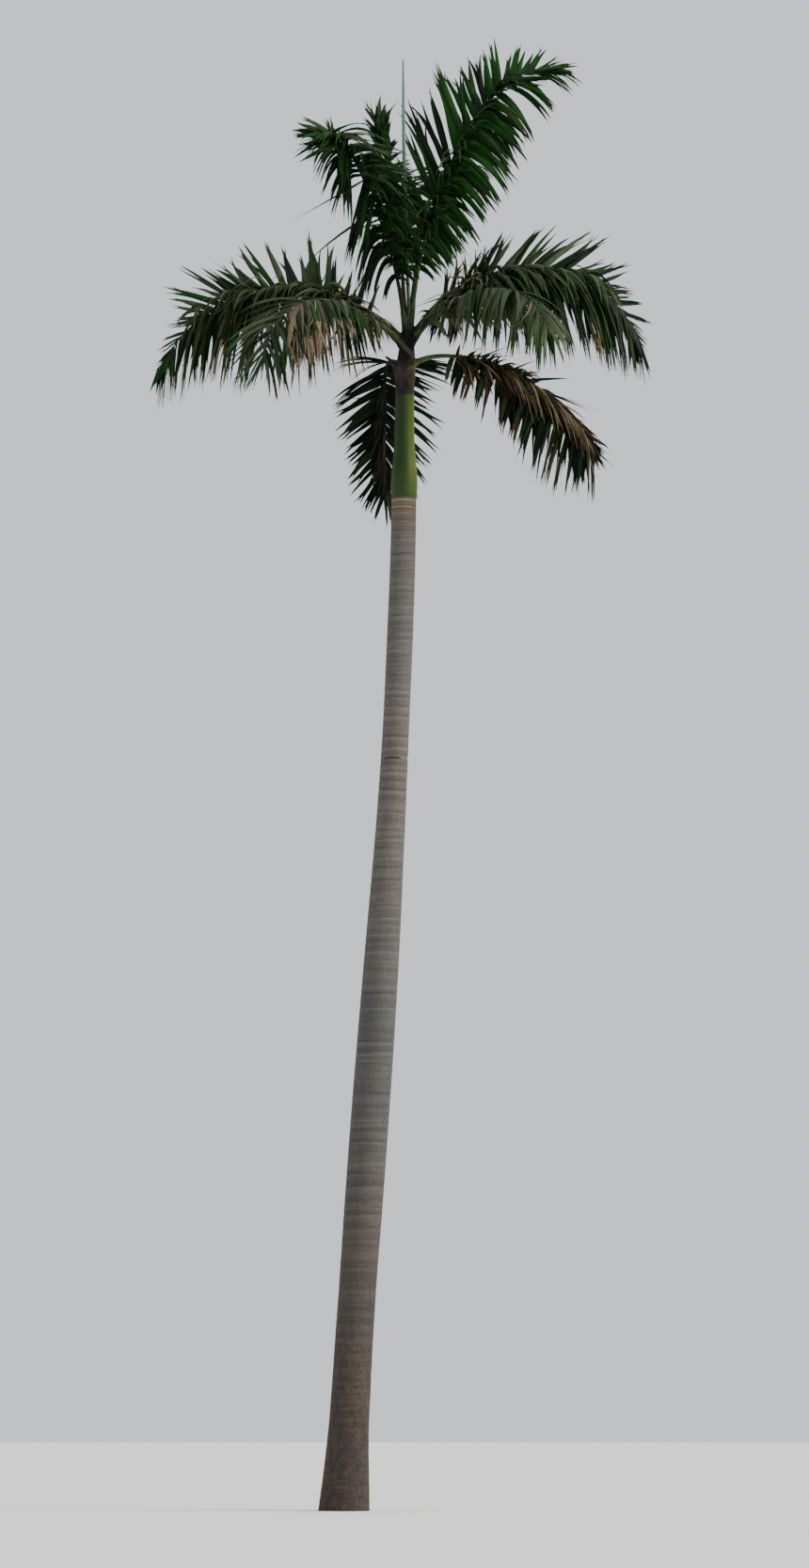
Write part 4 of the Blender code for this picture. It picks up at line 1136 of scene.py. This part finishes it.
def grow_row(rib, hand, look, dice):
    """The leaflets on one side of a midrib, as (skin, leaflet) pairs."""
    frond = rib.frond
    row, dress = (frond.right, look.right) if hand > 0 else (frond.left, look.left)
    first = frond.first - row_lead
    margin = bare_end / frond.length
    run = 1.0 - first - 2 * margin
    count = round(run * frond.length / leaflet_spacing)
    grown_leaves = []
    k = 0
    rank = 1
    while k < count:
        members = min(dice.randint(2, 4), count - k)
        rank = -rank
        lift_roll, spread_roll, size_roll = (dice.uniform(-1, 1) for _ in range(3))
        squeeze = dice.uniform(0.3, 1.0)
        skin = dice.choices(list(look.greens), look.greens.values())[0]
        middle = k + (members - 1) / 2
        here = max(0.0, (first + run * middle / count - frond.first) / (1 - frond.first))
        kept_group = dice.random() < read(dress.keep, here)
        dry_tip = dice.random() < read(dress.tips, here)
        # Some groups lie in shadow and take the darkest skin, as painted shade.
        if dice.random() < read(dress.dark, here):
            skin = "night"
        for _ in range(members):
            off = k - middle
            k += 1
            rolls = [dice.uniform(-1, 1) for _ in range(7)]
            is_dry = dice.random() < read(dress.dry, here)
            loose = wild_vector(dice)
            if not kept_group:
                continue
            share = first + margin + run * (middle + off * (1 - crowding) + 0.5 + row_stagger * hand) / count
            along = max(0.0, (share - frond.first) / (1 - frond.first))
            growth, side = rib.heading(share), rib.side(share)
            up = side.cross(growth)
            lift = row.base_lift + (row.tip_lift - row.base_lift) * along
            lift += rank_lift * rank + group_lift * lift_roll + own_lift * rolls[0]
            spread = read(leaflet_spread, along) * row.opening + read(dress.turn, along)
            spread += group_spread * spread_roll + own_spread * rolls[1] + pinch * squeeze * off
            lift, spread = math.radians(lift), math.radians(spread)
            outward = hand * math.cos(lift) * side + math.sin(lift) * up
            aim = math.cos(spread) * growth + math.sin(spread) * outward
            size = (row.base_size + (row.tip_size - row.base_size) * along) * read(dress.reach, along)
            span = frond.leaf * size * read(leaflet_lengths, along)
            span *= 1 + length_scatter * (0.6 * size_roll + 0.4 * rolls[2])
            droop = row.droop * read(dress.sag, along) * (mean_droop + droop_scatter * rolls[3])
            face = hand * aim.cross(growth) + 0.3 * up + 0.15 * rolls[4] * side
            bend = Vector((read(dress.pull, along), 0.0, -droop)) + 0.10 * rolls[5] * growth
            broad = half_width * look.width * read(leaflet_widths, along) * (1 + width_scatter * rolls[6])
            root = rib.place(share) + outward * rib.radius(share) * 0.7
            if is_dry:
                curl = loose * dry_curl - Vector((0.0, 0.0, 1.0))
                grown_leaves.append((look.dead, Leaf(
                    root, aim, face, bend * 1.25 + loose * 0.5, curl, span * dice.uniform(*dry_length),
                    broad * dice.uniform(*dry_width), dice.uniform(-dry_twist, dry_twist), dry_ripple,
                    0.0, 1.0,
                )))
                continue
            curl = loose * (tip_curl if dry_tip else green_curl)
            twist = dice.uniform(-green_twist, green_twist)
            leaf = Leaf(root, aim, face, bend, curl, span, broad, twist, green_ripple, 0.0, 1.0)
            if dry_tip:
                cut = dice.uniform(*dry_from)
                grown_leaves.append((skin, leaf._replace(cut_to=cut)))
                grown_leaves.append((look.dead, leaf._replace(cut_from=cut)))
            else:
                grown_leaves.append((skin, leaf))
    return grown_leaves


def grow_tuft(rib, tuft, dice):
    """The loose leaflets of one tuft, as (skin, leaflet) pairs."""
    takes = tuft.skins.split()
    grown_leaves = []
    for k in range(tuft.count):
        share = dice.uniform(*tuft.shares)
        aim = (Vector(tuft.aim) + tuft.wild * wild_vector(dice)).normalized()
        face = loose_face + 0.5 * wild_vector(dice)
        bend = Vector((0.0, 0.0, -tuft.droop * dice.uniform(0.8, 1.2)))
        broad = half_width * tuft.width * dice.uniform(0.8, 1.2)
        leaf = Leaf(
            rib.place(share), aim, face, bend, wild_vector(dice) * min(tuft.wild, 1.2),
            dice.uniform(*tuft.length), broad, dice.uniform(-1, 1) * (1 + 3 * tuft.wild),
            loose_ripple * tuft.wild, 0.0, 1.0,
        )
        grown_leaves.append((takes[k % len(takes)], leaf))
    return grown_leaves


def leaf_piece(name, leaves, skin):
    """Grow a list of leaflets into one joined mesh."""
    mesh = bpy.data.meshes.new(name)
    mesh.from_pydata([leaf.root for leaf in leaves], [], [])
    for field in ("aim", "face", "bend", "curl"):
        column = mesh.attributes.new(field, "FLOAT_VECTOR", "POINT")
        column.data.foreach_set("vector", [v for leaf in leaves for v in getattr(leaf, field)])
    for field in ("span", "broad", "twist", "ripple", "cut_from", "cut_to"):
        column = mesh.attributes.new(field, "FLOAT", "POINT")
        column.data.foreach_set("value", [getattr(leaf, field) for leaf in leaves])
    sizes = {"Sections": leaf_sections, "Fold": leaf_fold, "Thickness": leaf_thickness, "Skin": skin}
    piece = grown(name, mesh, leaf_tree, sizes)
    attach(piece, "root")
    return piece


for number, (name, rib) in enumerate(ribs.items()):
    dice = random.Random(first_seed + number)
    crop = [pair for hand in (1, -1) for pair in grow_row(rib, hand, LOOKS[name], dice)]
    crop += [pair for tuft in TUFTS.get(name, ()) for pair in grow_tuft(rib, tuft, dice)]
    by_skin = defaultdict(list)
    for skin, leaf in crop:
        if not hits_stem(leaf):
            by_skin[skin].append(leaf)
    for skin, leaves in by_skin.items():
        piece = leaf_piece(f"frond_{name}_leaflets_{skin}", leaves, skins[skin])
        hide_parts(f"frond_{name}_inner", f"frond_{name}_outer")


# The floor and the light: a plain pale floor under a soft white sky, with one wide soft light high on the
# right and a little in front of the palm.
floor_radius = 60.0
floor_gap = 0.002
sky_white = (0.92, 0.95, 1.0, 1.0)
sky_strength = 0.95
light_colour = (1.0, 0.95, 0.88)
light_strength = 4.2
light_softness = 35
light_from = Vector((0.95, -0.32, 0.62))

bm = bmesh.new()
bmesh.ops.create_circle(bm, cap_ends=True, radius=floor_radius, segments=128)
floor_mesh = bpy.data.meshes.new("floor")
bm.to_mesh(floor_mesh)
bm.free()
floor = placed("floor", floor_mesh)
floor.location.z = -floor_gap
floor_mesh.materials.append(paint(
    "pale_floor",
    lambda place: place.noise(0.6).tint((0.80, 0.80, 0.79, 1.0), (0.84, 0.84, 0.83, 1.0)),
    lambda place: place.noise(2.0).step(0.3, 0.7, 0.85, 0.95),
))

sky = bpy.data.worlds.new("sky")
sky.use_nodes = True
sky.node_tree.nodes["Background"].inputs["Color"].default_value = sky_white
sky.node_tree.nodes["Background"].inputs["Strength"].default_value = sky_strength
bpy.context.scene.world = sky

light = placed("soft_light", bpy.data.lights.new("soft_light", "SUN"))
light.data.energy = light_strength
light.data.angle = math.radians(light_softness)
light.data.color = light_colour
light.rotation_euler = light_from.to_track_quat("Z", "Y").to_euler()
